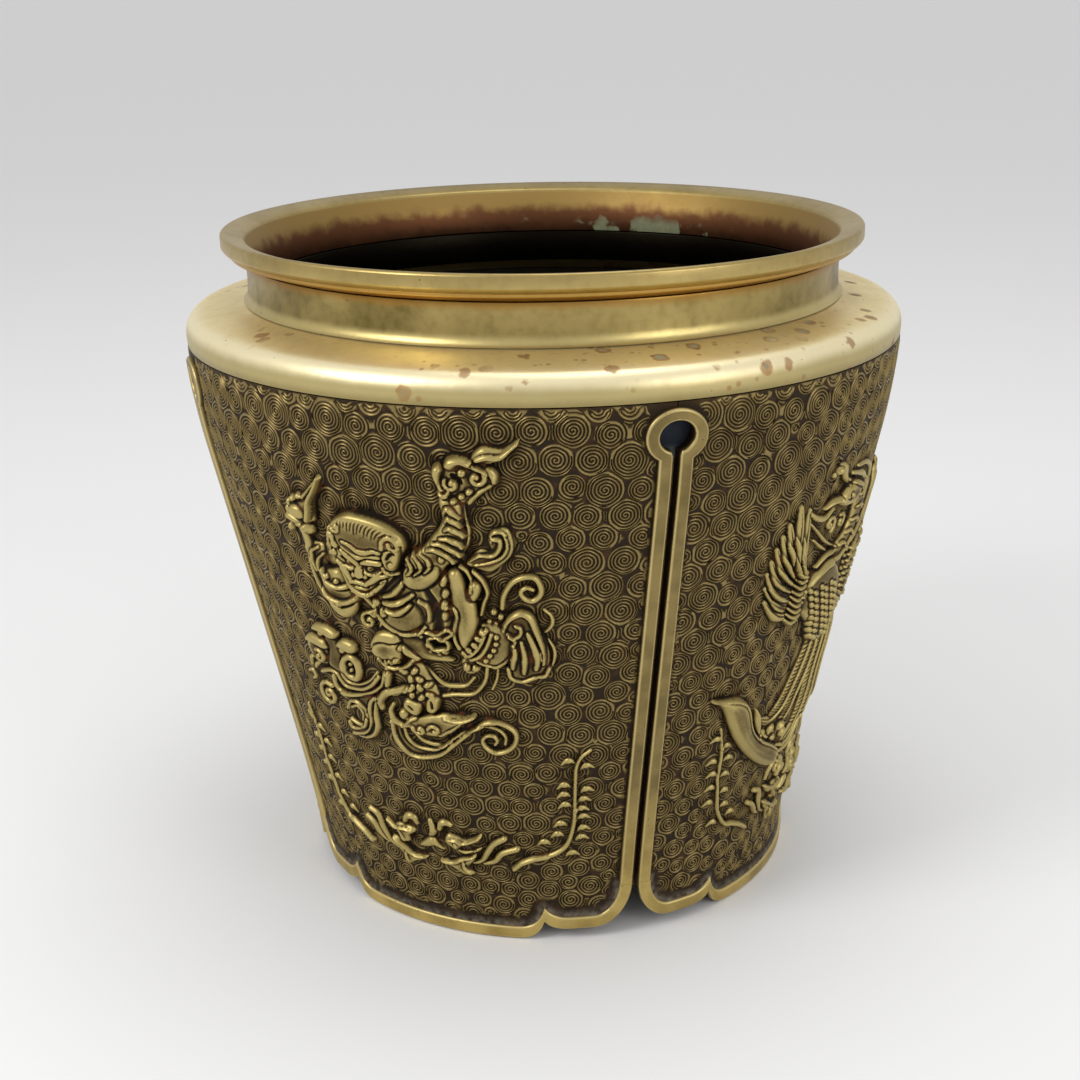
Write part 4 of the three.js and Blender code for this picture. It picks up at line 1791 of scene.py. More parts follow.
        # dust marks the hollow over the hem: dust, and partly a painted reflection
        mark(piece, wear=wear, shade=shade, dust=np.clip(1.15 - hem / (0.62 * self.hollow_reach), 0, 1))


@dataclass
class AppliedRelief(Clay):
    """A relief that is modelled in clay on the opened-out wall and set on a panel."""

    step: float = 0.34
    finish: Finish = CarvedBronze()
    under: float = -0.75
    skirt: float = -0.45
    back_step: float = 6.0

    def stages(self) -> Sequence[Callable[[], None]]:
        """The methods that lay the strokes, from the far things to the near ones."""
        raise NotImplementedError

    def build(self, name: str) -> bpy.types.Object:
        """Models the relief and casts it as one or more closed solids, facing the front.

        Args:
            name: Name of the piece.

        Returns:
            The piece, with the attributes wear and shade.
        """
        for stage in self.stages():
            stage()
        self.settle()
        high = self.height > self.skirt
        cell = self.without_corner_touches(high[:-1, :-1] | high[1:, :-1] | high[:-1, 1:] | high[1:, 1:])
        rows, columns = cell.nonzero()
        wide = self.height.shape[1]
        corner = rows * wide + columns
        quads = np.column_stack([corner, corner + 1, corner + wide + 1, corner + wide])
        used, quads = np.unique(quads, return_inverse=True)
        quads = quads.reshape(-1, 4)
        places = self.places.reshape(-1, 2)[used]
        height = np.maximum(self.height.ravel()[used], self.skirt)
        sides = np.vstack([quads[:, [k, (k + 1) % 4]] for k in range(4)])
        code = sides[:, 0] * len(used) + sides[:, 1]
        edge = sides[~np.isin(code, sides[:, 1] * len(used) + sides[:, 0])]
        back_places, back = self.back(places, edge, cell)
        beneath = {point: len(used) + k for k, point in enumerate(np.unique(edge).tolist())}
        faces = [triangle for quad in quads.tolist() for triangle in self.split(quad, height)]
        faces += [(b, a, beneath[a], beneath[b]) for a, b in edge.tolist()]
        faces += [tuple(len(used) + point for point in face[::-1]) for face in back]
        points = np.vstack([WALL.wrapped(places, height), WALL.wrapped(back_places, self.under)])
        piece = new_piece(name, (points * MM).tolist(), [], faces)
        self.mark_looks(piece, used)
        bpy.ops.object.shade_smooth_by_angle(angle=math.radians(60))
        return piece

    def without_corner_touches(self, cell: np.ndarray) -> np.ndarray:
        """Fills cells so that no two of them touch at a corner alone.

        Args:
            cell: True for each cell of the field that the relief fills.

        Returns:
            The same with the filled ones added.
        """
        filled = cell.copy()
        for _ in range(6):
            a, b, c, d = filled[:-1, :-1], filled[:-1, 1:], filled[1:, :-1], filled[1:, 1:]
            rising, falling = a & d & ~b & ~c, b & c & ~a & ~d
            if not (rising.any() or falling.any()):
                break
            filled[:-1, 1:] |= rising
            filled[:-1, :-1] |= falling
        return filled

    def split(self, quad: list[int], height: np.ndarray) -> list[tuple[int, int, int]]:
        """Cuts a cell along the diagonal that follows its ridge.

        Args:
            quad: The cell's corners.
            height: Height of every point.

        Returns:
            Its two triangles.
        """
        a, b, c, d = quad
        if abs(height[a] - height[c]) < abs(height[b] - height[d]):
            return [(a, b, c), (a, c, d)]
        return [(a, b, d), (b, c, d)]

    def back(self, places: np.ndarray, edge: np.ndarray, cell: np.ndarray) -> tuple[np.ndarray, list]:
        """Lays out a plain back inside the relief's outline.

        Args:
            places: Across and up of the front's points.
            edge: Pairs of points along the outline.
            cell: True for each cell of the field that the relief fills.

        Returns:
            The back's places, the ones below the outline first, and its faces.
        """
        corners = np.unique(edge)
        deep = blurred(cell.astype(float), 1.0) > 0.999
        far = slice(4, None, int(self.back_step / self.step))
        points = np.vstack([places[corners], self.places[:-1, :-1][far, far][deep[far, far]]])
        pairs = np.searchsorted(corners, edge).tolist()
        made = delaunay_2d_cdt([Vector(point) for point in points.tolist()], pairs, [], 0, 1e-6, True)
        faces = np.array([tuple(face) for face in made[2]])
        middle = np.array([tuple(point) for point in made[0]])[faces].mean(axis=1)
        column, row = ((middle - self.places[0, 0]) / self.step).astype(int).T
        faces = faces[cell[row, column]]
        return points, [tuple(made[3][point][0] for point in face) for face in faces.tolist()]

    def mark_looks(self, piece: bpy.types.Object, used: np.ndarray) -> None:
        """Marks how rubbed and how shaded each point is.

        Args:
            piece: The relief's piece.
            used: The field's points that its front uses.
        """
        solid = np.maximum(self.height, -0.2)
        proud = solid - blurred(solid, 0.55 / self.step)
        broad = solid - blurred(solid, 1.8 / self.step)
        wear = np.clip(0.36 + proud * 1.3 + broad * 0.34 + solid * 0.03, 0, 1)
        shade = np.clip(0.5 - solid / 0.9, 0, 0.6)
        mark(piece, wear=wear.ravel()[used], shade=shade.ravel()[used])


@dataclass
class DemonFigure(AppliedRelief):
    """The leaping demon with its clouds, scarf and ribbons."""

    left: float = -52.0
    right: float = 62.0
    bottom: float = 72.0
    top: float = 202.0

    def stages(self) -> Sequence[Callable[[], None]]:
        """The methods that lay the strokes, from the far things to the near ones."""
        clouds = (self.wind, self.cloud, self.scarf, self.swirl, self.ribbons, self.skirts)
        return (*clouds, self.far_leg, self.body, self.near_leg, self.boot, *self.upper_stages())

    def upper_stages(self) -> Sequence[Callable[[], None]]:
        """The methods for the arms and the head."""
        return (self.lowered_arm, self.raised_arm, self.fist, self.head, self.face)

    def wind(self) -> None:
        """Bands of wind below the cloud."""
        self.mass(
            "-9,100 -4,-2 -6,-1 -8,-1 3,-3 7,-1 1.5,-4 -1.5,-5 -5,-4 -3.5,-1.5 5.5,0 5,2 3.5,3.5 1,5 0,5 "
            "3,4 3.5,6 2,6 -3,3",
            1.6, 2.5,
        )
        self.roll("-9.5,99 -3.5,-3 -1.5,-5 -0.5,-4 -3,-5 -4,-2.5 -3.5,-1.5", 2.3, 1.2, 0.7, SPINDLE)
        self.roll("-10.5,97.5 -1.5,-6.5 0,-5 -2.5,-4.5 -4,-2.5", 2.1, 1.2, 0.7, SPINDLE)
        self.roll("-25.5,89 2,3.5 4,1.5 3,-2.5 0,-4 -2,-3.5 -3.5,-0.5 -3,1", 2.1, 1.4, 0.7, SPINDLE)
        self.roll("-23.5,90 3,1.5 2,-2.5 -0.5,-3; -26.5,82.5 1.5,-2 3.5,1 3.5,2.5 1.5,3.5", 1.4, 0.9, 0.6)
        self.curl(-35, 91, 5.2, 1.7, 60, 1.9, 1.2, 0.3)
        self.roll("-30,101 0.5,-3.5 2.5,-2 5,0.5 6,2 5,2.5 4,4 2,5", 1.6, 1.1, 0.6)
        self.roll("-30,105.5 3.5,-0.5 1.5,-2.5 3,-2 5,1 5,3 3.5,4", 1.5, 0.9, 0.6)
        self.roll("-35.5,101 4.5,2 3.5,0 1.5,-2 2,-2 3,0 5,1 4.5,3 3.5,4", 1.7, 1.2, 0.7)
        self.roll("-4.5,105 1,4.5", 2.4, 1.1, 0.5)

    def cloud(self) -> None:
        """The rolling cloud left of the leg."""
        self.mass("-30,118 6,1 0.5,-7 2,-5.5 -4.5,-2.5 -5,2 1.5,6", 1.9, 2.4)
        self.mass("-35,119.5 1.5,2.5 3.5,1 4,0 3.5,-1.5 0,-2 -3,-1.5 -4.5,1", 3.3, 1.7)
        self.mass("-24,116.5 2.5,3 3.5,0.5 3,-1 0,-3 -2.5,-1.5 -3.5,0.5", 3.3, 1.9)
        self.mass("-40.5,113 2,3 4.5,0.5 4,-0.5 1.5,-2.5 -2,-1.5 -4.5,0", 3.0, 1.8)
        self.mass("-40.5,112 0.5,-5 3,-2.5 5,0.5 1.5,3 -0.5,4", 1.7, 1.6)
        self.curl(-34, 108.2, 2.8, 1.2, 120, 1.7, 1.2, 1.0, hand=-1)
        self.roll("-16,108 -0.5,3 -2.5,1.5 -3,-2 -0.5,-3.5 1.5,-2.5 3,-0.5 1.5,2 0.5,2", 2.7, 1.5, 1.0)
        self.ball("-20,109 0,-2.5", 1.9, 1.0, level=0.8)
        self.ball("-32,118 9.5,-4", 2.8, 1.2, level=0.9)
        self.roll("-42,101 1,3.5 2,1.5; -40,100.5 1.5,2 2,1.5", 2.3, 1.4, 0.2, SPINDLE)
        self.roll("-45,97 2,1 1.5,-2 -1.5,-1.5", 1.6, 0.9, 0.1)

    def scarf(self) -> None:
        """The long scarf that ends in a curl below the boot."""
        self.roll("-5,91 0,-7 2.5,-4.5 4.5,-2 5,0.5 5,2.5 5,4.5 5,4.5 5,3.5 4,0.5", 3.8, 0.8, 0.25)
        self.roll(
            "-5.5,90 0,-6 2.5,-5 4,-2.5 5,0.5 5.5,2 5,4.5 5,4.5 4.5,4 4.5,2 4.5,-1 3.5,-3.5 -0.5,-4.5 "
            "-3,-3 -4,-1 -3,2 -1,3 1.5,2 2.5,0 1,-2 -1,-1.5",
            1.8, 1.4, 0.5, (0.9, 1.1, 0.8),
        )
        self.roll(
            "-1.5,89 0.5,-5 2.5,-3 4,-1 5,1 4.5,3.5 5,4 5,3 4,0.5 4,-1.5 2,-3 -0.5,-3",
            1.3, 0.9, 0.5,
        )
        self.roll("2,86.5 3,-3 4.5,-1 4.5,0.5 2.5,2", 1.9, 0.8, 0.4, SPINDLE)

    def swirl(self) -> None:
        """The swirl of wind between the boot and the skirts."""
        self.roll("15.5,103.5 4.5,1 6,0.5 3.5,3 2,3.5 1,4.5", 1.6, 1.2, 0.2)
        self.roll("11,115 3,-4 3,-2.5 4,-0.5 3.5,0.5 3,3", 1.9, 1.3, 0.3, SPINDLE)
        self.roll("33,107 2,4 1,4.5", 1.1, 0.8, 0.2)
        self.mass("24,116.5 1,3 4,0 2,-2.5 -2,-3 -3.5,-0.5", 1.8, 2.2)
        self.ball("26,116.5 3,-0.5", 3.0, 1.1, level=1.0)

    def ribbons(self) -> None:
        """The hook, flame and thin ribbons right of the shoulder."""
        hook = "40.5,139 1,4.5 3,4.5 4,2 3.5,-0.5 1.5,-3.5 -0.5,-3 -2.5,-2 -2.5,1 -1,2.5 2,1.5 2,-1"
        self.roll(hook, 2.1, 1.6, 0.3, (1, 1.1, 0.8))
        self.mass(
            "31,155.5 2.5,3.5 3,2 3,-0.5 -0.5,3.5 1,3 3,1.5 3,-1 1,-4.5 -1,-4.5 -3.5,-3.5 -4,-2.5 -3.5,1",
            1.8, 2.2,
        )
        self.roll("32.5,157 3.5,2 4,0 2.5,2.5 0.5,3 -2,0.5", 1.7, 1.2, 0.9, (0.5, 1, 1))
        self.roll("34,155.5 5,1 4,2 2,3.5 -0.5,4", 1.4, 0.9, 0.8, SPINDLE)
        self.roll("40,163.5 0.5,3 2.5,1 2,-1.5", 1.5, 0.8, 0.9, SPINDLE)
        self.roll("33,178.5 0,-6.5 0.5,-4.5 -1,-4.5 -2,-3 -2.5,-2.5 -1.5,-2", 1.4, 1.2, 0.3)
        self.roll(
            "53.5,137 2,-2.5 0,-3 -2,-2.5 -2,-0.5; 53.5,125.5 1.5,-4 -0.5,-4 -1.5,-3.5",
            1.7, 1.2, 0.2, SPINDLE,
        )

    def skirts(self) -> None:
        """The blown skirts with their folds."""
        self.mass(
            "38.5,127 1,6.5 3,3.5 3.5,1 3.5,-2.5 2,-5.5 1.5,-5.5 0.5,-6 -2,-5 -4,-3 -4.5,-0.5 -3.5,2 "
            "0,5.5 -2,4",
            2.0, 3,
        )
        self.roll("39.5,130 1.5,3.5 2.5,2.5 3,1 2.5,-2 1,-4 1,-5 0.5,-5 -0.5,-4", 2.4, 1.5, 1.3, SPINDLE)
        self.roll(
            "42,125 0.5,-3 -1,-3.5 -0.5,-2.5; 45,126 0.5,-5 -0.5,-4 -0.5,-3",
            2.5, 1.5, 1.2, SPINDLE,
        )
        self.roll("47.5,129 1.5,-5.5 0.5,-4.5 -1,-3.5", 3.0, 1.6, 1.3, SPINDLE)
        self.roll("39.5,115.5 0.5,-3.5 3.5,-1.5 3,1 2,0.5 2.5,0 1.5,2.5", 1.6, 1.1, 1.2)
        self.roll("41,129.5 2,-1.5 2,1 0.5,2.5 -1.5,1; 41.5,128.5 1.5,-1.5 -0.5,-2", 1.4, 1.0, 1.4)
        self.ball("35.5,133.5 2,-1 2,3 -2,2", 2.3, 1.1, level=0.8)

    def far_leg(self) -> None:
        """The far thigh under its beaded cuff."""
        self.mass(
            "24,125.5 3.5,5.5 4.5,2.5 5,-0.5 3.5,-2.5 1.5,-4.5 -1.5,-5.5 -4,-3.5 -6,0.5 -4,3",
            3.3, 4.5, edge=1.0,
        )
        self.roll("26.5,121 3,2 3,4 2,4.5; 28,120 3.5,2 2.5,3.5 2,4.5", 1.6, 1.1, 2.2)
        self.ball("26,122.5 2,1.5 2,2 1.5,2.5 1.5,2.5", 2.5, 1.3, level=1.9)
        self.ball("33,120 1.5,2 1.5,2 1,2.5 0.5,2.5", 1.9, 1.0, level=2.3)
        self.roll("30,119.5 2.5,-1.5 3,-1.5 3,1.5 2,2", 1.7, 1.1, 1.3, SPINDLE)

    def body(self) -> None:
        """Chest, belly, belt and the column of cloth beside them."""
        self.mass(
            "-3,141 0.5,-6 3,-5 5,-3.5 6.5,-0.5 6,1 5.5,2.5 2,6.5 1,8 -0.5,7 -5,2.5 -8,-3 -6,0 -5,-2",
            3.2, 5.5, edge=1.2,
        )
        self.groove("16.5,147 2,-5 1,-6 -1,-5.5", 5.0, 1.1, (0.5, 1, 0.8))
        self.mass(
            "-0.5,136.5 1,-5 4.5,-2.5 5,1 4,3 0,5 -3,3 -5,0.5 -4.5,-1.5",
            4.4, 5, edge=2.6, moat=0.3,
        )
        self.roll("-2.5,138 1,-4.5 3,-3.5 4.5,-2 5,1 3.5,3", 1.7, 1.3, 2.6, (0.8, 1.1, 0.8))
        self.mass(
            "25,153.5 -0.5,-5.5 0,-7 0.5,-5 -0.5,-5 0.5,-5 2,-2 2.5,2.5 2,3.5 1,5 0,6 -1.5,5 -1,4 "
            "-1.5,4.5",
            4.7, 3.4, edge=1.4,
        )
        self.mass("30.5,144 0.5,4.5 2,1.5 2,-1.5 -0.5,-3 -2,-3", 3.9, 1.7, edge=1.6)
        self.roll("29,155 2,-2 1,-3.5 -0.5,-3; 33,153 2.5,-3.5 1,-4.5 -1.5,-3.5 -1.5,-4.5", 1.3, 0.9, 1.4)
        self.roll("23.5,140 2,0 0.5,-2.5 -1,-3 -1,-4 0,-3 1,-3", 1.6, 1.2, 2.4)
        for middle, length in (("23.5,150", 4.4), ("23.5,145.5", 3.9), ("22.5,141", 3.9), ("22,137", 3.8)):
            self.ball(middle, 2.7, 1.5, length, turn=-18, level=2.5)
        self.roll("14,142 2.5,-1.5 0.5,-3 -0.5,-2.5; 18,150.5 3,2 1.5,3 1.5,2", 1.6, 1.2, 2.5)
        # ribs of the neck, sweeping up to the right
        self.roll(
            "1.5,142 3.5,1.5 2.5,2.5 2.5,3; 1,139.5 4,0.5 3.5,1.5 3.5,2.5; 1.5,137 3.5,-0.5 3,1.5 2.5,2",
            2.5, 1.5, 3.1, SPINDLE, moat=0.7,
        )
        self.ball("-2,139 2,-3", 2.9, 1.4, 3.9, turn=25, level=2.4)
        # bow and ring at the belt
        self.roll("12.5,128 0,2 3,0 2.5,-1 3.5,2.5 1.5,-1.5 -2.5,-2 -2.5,1", 1.4, 1.1, 2.4)
        self.roll("14,125.5 1,2 3.5,0.5 2.5,-1.5 0,-2.5 -2.5,-1 -3,0 -1.5,2.5", 1.4, 1.2, 2.0)
        self.groove("16,125.5 1.5,0.5 2,-1", 1.8, 1.1)
        self.ball("13.5,124.5 1,-2.5 3,-0.5 2,0.5", 2.0, 1.0, level=1.6)
        self.curl(-7.6, 129.8, 3.6, 1.4, 40, 1.7, 1.2, 0.5)
        self.roll("-2.5,135.5 -2.5,-1.5 -3,-0.5; -2.5,132 -0.5,-3 -1.5,-2.5", 1.5, 1.0, 0.5, SPINDLE)

    def near_leg(self) -> None:
        """The near leg: thigh, knee and scaly shin."""
        self.mass("2,127 6,1 4.5,-1.5 2.5,-4 5,-2 2,-2 -6,-0.5 -6,0.5 -6,0.5", 2.9, 3.6, edge=1.0)
        self.mass(
            "-7.5,120.5 1.5,4 3,3 4.5,0.5 2.5,-1 1,-3.5 -1,-4 -1.5,-3 -4.5,-0.5 -3.5,1",
            5.2, 4.6, edge=2.2,
        )
        self.groove("-7,120 1.5,2.5 3,1.5 3.5,0 3.5,0.5", 0.9, 0.9)
        self.roll("-5,115.5 3,-2 4,0 3.5,2 2.5,2.5", 1.7, 1.4, 1.8)
        self.ball("-4.5,116.5 2,-1", 1.5, 1.2, 2.3, level=2.4)
        self.ball("-0.5,116 2.5,1", 2.0, 1.3, 2.8, level=2.4)
        self.roll("5,122.5 2,-1.5 2.5,-2", 2.9, 1.5, 2.4, (1, 1, 0.7))
        self.mass(
            "1.5,113.5 4.5,2.5 3.5,0.5 2.5,-3.5 2,-5.5 0.5,-5.5 -2,-4.5 -3.5,0.5 -4,2.5 -3.5,3 2,4 0,3",
            2.5, 3.4, edge=0.9,
        )
        scales = "3.5,112.5 4,1 -2,-3.5 3.5,0.5 2.5,-2 -6,-2 3,0.5 3,-2.5 -3,-1.5 -3.5,0.5 7,-2.5"
        for k, (x, y) in enumerate(points_of(scales)):
            self.ball(f"{x},{y}", 3.3, 1.1, 2.3, turn=50 * k, level=1.7, moat=0.6)
        # sash from the shin to the left
        self.roll("-9,94.5 0.5,3.5 3,3.5 4,1.5 4,2 2.5,1", 3.4, 1.6, 0.9, (0.7, 1.1, 0.6))
        self.groove("-7.5,95.5 1,2.5 3,3 5,2", 0.8, 0.8, SPINDLE)
        # petals over the boot
        self.mass(
            "1,98.5 1.5,3 3.5,-0.5 2,-1 -1,-3.5 -1.5,-1.5 -2.5,1; 9.5,98 0.5,4 2,2 2.5,-1 -0.5,-3.5 "
            "-2,-2.5",
            3.6, 1.8, edge=1.8,
        )
        self.groove("3.5,99 1,-1; 12,102 0,-2.5", 1.4, 1.1)

    def boot(self) -> None:
        """The boot with its turned-up toe."""
        self.mass(
            "0,90.5 2,3 4,1 4.5,1.5 4.5,1 4.5,-0.5 6,0.5 0.5,-1.5 -5,-2.5 -4,-2.5 -3,-3 -5.5,-0.5 -5,1",
            3.7, 3.6, edge=1.3,
        )
        self.roll("15.5,95.5 4.5,-0.5 3,0.5 2.5,1", 1.9, 1.0, 1.9, (0.5, 1, 0.6))
        self.roll("0.5,90.5 2,2.5 2.5,1; 13,88 3.5,2 4,3", 1.6, 0.9, 2.0, SPINDLE)
        self.curl(6.2, 90.2, 2.5, 1.0, 170, 1.4, 1.0, 2.4)
        self.curl(11.6, 90.4, 2.4, 1.0, 170, 1.4, 1.0, 2.4, hand=-1)
        self.ball("0,94", 3.9, 1.6, 4.2, level=1.2)
        self.roll("-4,97 -1.5,-3 1,-3.5 3,-1.5 2,0", 2.6, 1.5, 0.8, SPINDLE)

    def lowered_arm(self) -> None:
        """The sleeve and the lowered arm, with the flame in its hand."""
        self.mass("-28,155 -0.5,-7 1.5,-6 3,-5 2.5,5 1.5,7 -0.5,6.5 -3.5,1", 2.0, 3, edge=0.8)
        self.roll("-19,156.5 0.5,-5.5 1.5,-4", 3.8, 0.8, 0.7, SPINDLE)
        self.roll("-28.5,152.5 0.5,-5.5 1.5,-5 2.5,-4.5 2.5,-4.5 3,-2.5", 2.2, 1.4, 1.0, SPINDLE)
        self.roll(
            "-23,155 -3,-2 -0.5,-4 1,-3.5; -21,153 -2.5,-2.5 -0.5,-3.5 1,-2.5",
            1.7, 1.3, 1.2, SPINDLE,
        )
        self.mass(
            "-22.5,146.5 2.5,1.5 5,0.5 3,-4.5 2,-4 -0.5,-5.5 -2.5,-3.5 -3.5,-1.5 -4,2 -2.5,4 -1,5.5",
            4.4, 4.8, edge=1.2,
        )
        self.roll("-22,147 1.5,-3 3.5,-1.5 4.5,0.5; -23,139.5 2.5,-2 4,-1 4,1 2.5,1.5", 1.9, 1.3, 3.0)
        self.groove("-22.5,137.5 2.5,-2 4,-1 5,2; -21.5,142.5 4.5,-1.5 5,1", 0.9, 0.9, SPINDLE)
        self.ball("-20,145.5 4,-1 -0.5,-9", 2.1, 0.9, level=3.4)
        self.roll("-10.5,141.5 4.5,-3 3.5,-3.5", 1.7, 1.0, 1.2)
        # wrist and cuff
        self.mass("-31,162.5 2,-5.5 -0.5,-4 2,-2 2,3.5 -1,4 2,4", 2.8, 2.6, edge=1.0)
        self.roll("-34.5,164 4.5,-1 4,0.5", 2.8, 1.4, 1.4)
        self.ball("-25.5,161.5", 4.4, 1.6, level=1.4)
        # the hand and the flame in it
        self.mass(
            "-33,167 1.5,3.5 4,1 3.5,2.5 1.5,3 3.5,3.5 2,1.5 -1.5,-5.5 -2,-4.5 -1,-4.5 -1,-3 -4.5,-0.5 "
            "-4,1",
            3.2, 2.4,
        )
        self.ball("-28.5,167.5", 6.6, 1.5, 5.2, turn=-10, level=2.6)
        self.roll("-24,165.5 1,3.5 1,4 2.5,4 2,4.5", 2.0, 1.3, 2.4, THINNING)
        self.roll("-25.5,173 3,3 3,3.5", 1.5, 1.1, 1.9, THINNING)
        self.ball("-30.5,171.5 3,1.5", 2.9, 1.3, 2.2, level=1.6)
        self.ball("-33.5,169 -1,-2.5 -0.5,-7", 2.4, 1.2, 3.0, level=1.0)

    def raised_arm(self) -> None:
        """The raised arm, its shoulder and its bands."""
        self.mass(
            "9.5,149.5 0.5,5 1.5,3 3.5,2 3.5,3 3,3.5 3,3.5 1.5,3.5 0,7.5 6,0 0.5,-7.5 -0.5,-6 -1,-4.5 "
            "-3,-4.5 -3.5,-3.5 -2.5,-4 -4.5,-3 -4,-1.5 -3,1",
            4.2, 4, edge=1.4,
        )
        self.mass("9.5,150 1.5,4 4,-0.5 4,1.5 3.5,0.5 -0.5,-4.5 -4.5,-4 -4,-1 -3,1", 5.2, 4, edge=2.4)
        bands = (
            "27,175 1.5,2 1.5,-1.5 1.5,-2.5; 27,172 1.5,1.5 2,-1.5 1,-2; 26.5,169 2,1 2,-1.5 1.5,-2; "
            "24.5,166 3,0 2.5,-1.5 1,-2; 21.5,164 3.5,0 3,-2 2,-2.5; 19.5,161.5 3,0.5 3.5,-2 1.5,-3"
        )
        self.roll(bands, 2.0, 1.2, 3.1, (0.5, 1.1, 0.5), moat=0.75)
        folds = (
            "17,160 2.5,-2 0,-3 -2,-2; 14.5,159 2,-2.5 0,-2.5 -2.5,-2; 12,157.5 1.5,-2.5 -0.5,-2 -1.5,-1"
        )
        self.roll(folds, 1.6, 1.0, 3.4, (0.5, 1, 0.4), moat=0.75)
        self.ball("24,158.5", 1.9, 1.0, 2.8, level=3.2)

    def fist(self) -> None:
        """The cloud-like fist and the flame that leaves it."""
        self.mass(
            "25.5,188.5 0,2.5 2,0.5 2,0.5 1.5,2 2.5,0.5 3,-1 2,-2 2,-0.5 2,-1.5 2.5,-2.5 0,-2.5 -3.5,-1.5 "
            "-3,-2.5 -3,-2 -2.5,-0.5 -2.5,1 -1,1 -3.5,0 0,4",
            3.1, 3, edge=1.0,
        )
        self.mass("25,188.5 0.5,2.5 2,1 1.5,-1.5 -1,-3 0,-3 1,-1.5 -2,-0.5 -1,2.5", 4.7, 1.8, edge=1.6)
        self.mass(
            "29,191.5 1.5,2.5 3,0.5 3.5,-1 1.5,-1.5 -1,-2 -2,1 -1.5,0.5 -2,-1.5 -1.5,0",
            4.7, 1.8, edge=1.6,
        )
        self.ball("34.5,189", 2.9, 1.3, level=2.6)
        self.groove("31.5,188 1.5,-1 0.5,-1.5", 1.9, 1.4)
        self.curl(30.9, 185.2, 2.5, 1.1, 150, 1.7, 1.2, 2.6)
        self.curl(38.9, 187.2, 3.3, 1.3, 100, 1.9, 1.4, 2.4, hand=-1)
        self.roll("38.5,191 3,-1 2.5,-2.5 0,-2.5", 2.6, 1.2, 2.0, SPINDLE)
        self.roll("42.5,184 -2.5,-1.5 -2.5,-2 -2,-2; 26.5,181.5 2,-0.5 1,1.5", 1.6, 1.1, 2.0)
        self.ball("31,179.5 2.5,1.5 2.5,1.5", 2.7, 1.3, 2.1, turn=30, level=2.2)
        self.mass(
            "37.5,192.5 1,2.5 3,2 3,-0.5 3,-0.5 2.5,1 3,1 -2.5,-3 -2,-2 -3.5,-1.5 -3.5,-0.5",
            3.2, 2.2, edge=0.9,
        )
        self.roll("39.5,193 3,1 4,-0.5 2.5,1.5 3,2", 2.2, 1.1, 2.2, (0.8, 1, 0.3))

    def head(self) -> None:
        """The demon's skull, hair and ears."""
        self.mass(
            "-15.6,156 -0.2,6 1.4,4.6 3.4,3.2 4,1.8 5,-0.2 5,-0.8 4.6,-1.6 3.6,-3 1.2,-3.6 -1.4,-4 "
            "-2,-4.4 -2,-3 -2.6,-2.2 -3,-3.2 -2.4,-3 -3.6,-2 -3.4,0.6 -2.6,2.2 -1.6,4 -1.2,4.1 -1.2,2.5",
            6.6, 7, edge=2.4, moat=0.9,
        )
        # locks combed back from the forehead
        for k in range(15):
            x = -10.2 + 1.2 * k
            foot = 166.9 - 0.2 * k + 0.4 * (k * 7 % 5 - 2)
            crown = 169.9 - 0.02 * (x + 4 + 0.3 * k) ** 2
            lock = f"{x},{foot} {0.1 * k},{crown - 1.4 - foot} {0.18 * k},1.4"
            self.groove(lock, 0.8, 0.55, (0.4, 1, 0.3))
        self.curl(-11.2, 166.6, 1.9, 1.0, 200, 1.1, 0.9, 4.0)
        # side lock and lobe on the left
        self.roll("-14.4,166 -0.8,-4 0,-4.6", 1.3, 1.0, 2.4)
        self.ball("-13.6,163 0.8,-2.6", 2.5, 1.1, 3.4, turn=30, level=3.2)
        self.ball("-13.6,157 -2.4,-1.4", 2.4, 1.2, level=2.6)
        # curl and pointed ear on the right
        self.roll("5,161.4 0.6,2.8 2.4,1.4 2.4,-1.6 -0.2,-2.4 -2,0 -0.6,1.6", 1.4, 1.1, 3.8)
        self.mass(
            "4.6,155.4 -0.4,2.8 1.6,2.2 2.6,0.6 2.6,1.4 -0.6,-3.4 -1,-3 -1.6,-2.6 -1.8,-0.2",
            5.9, 1.5, edge=4.2, moat=1.1,
        )
        self.groove("6,157.6 1.4,1.8 1.6,0.2", 1.5, 1.1, SPINDLE)
        self.ball("7.2,155.4", 2.3, 0.9, level=4.6)
        self.roll("4.8,152.6 1.2,-1.6 2.2,0.6; 0,144 3,3 2.6,3", 1.2, 0.9, 3.0)

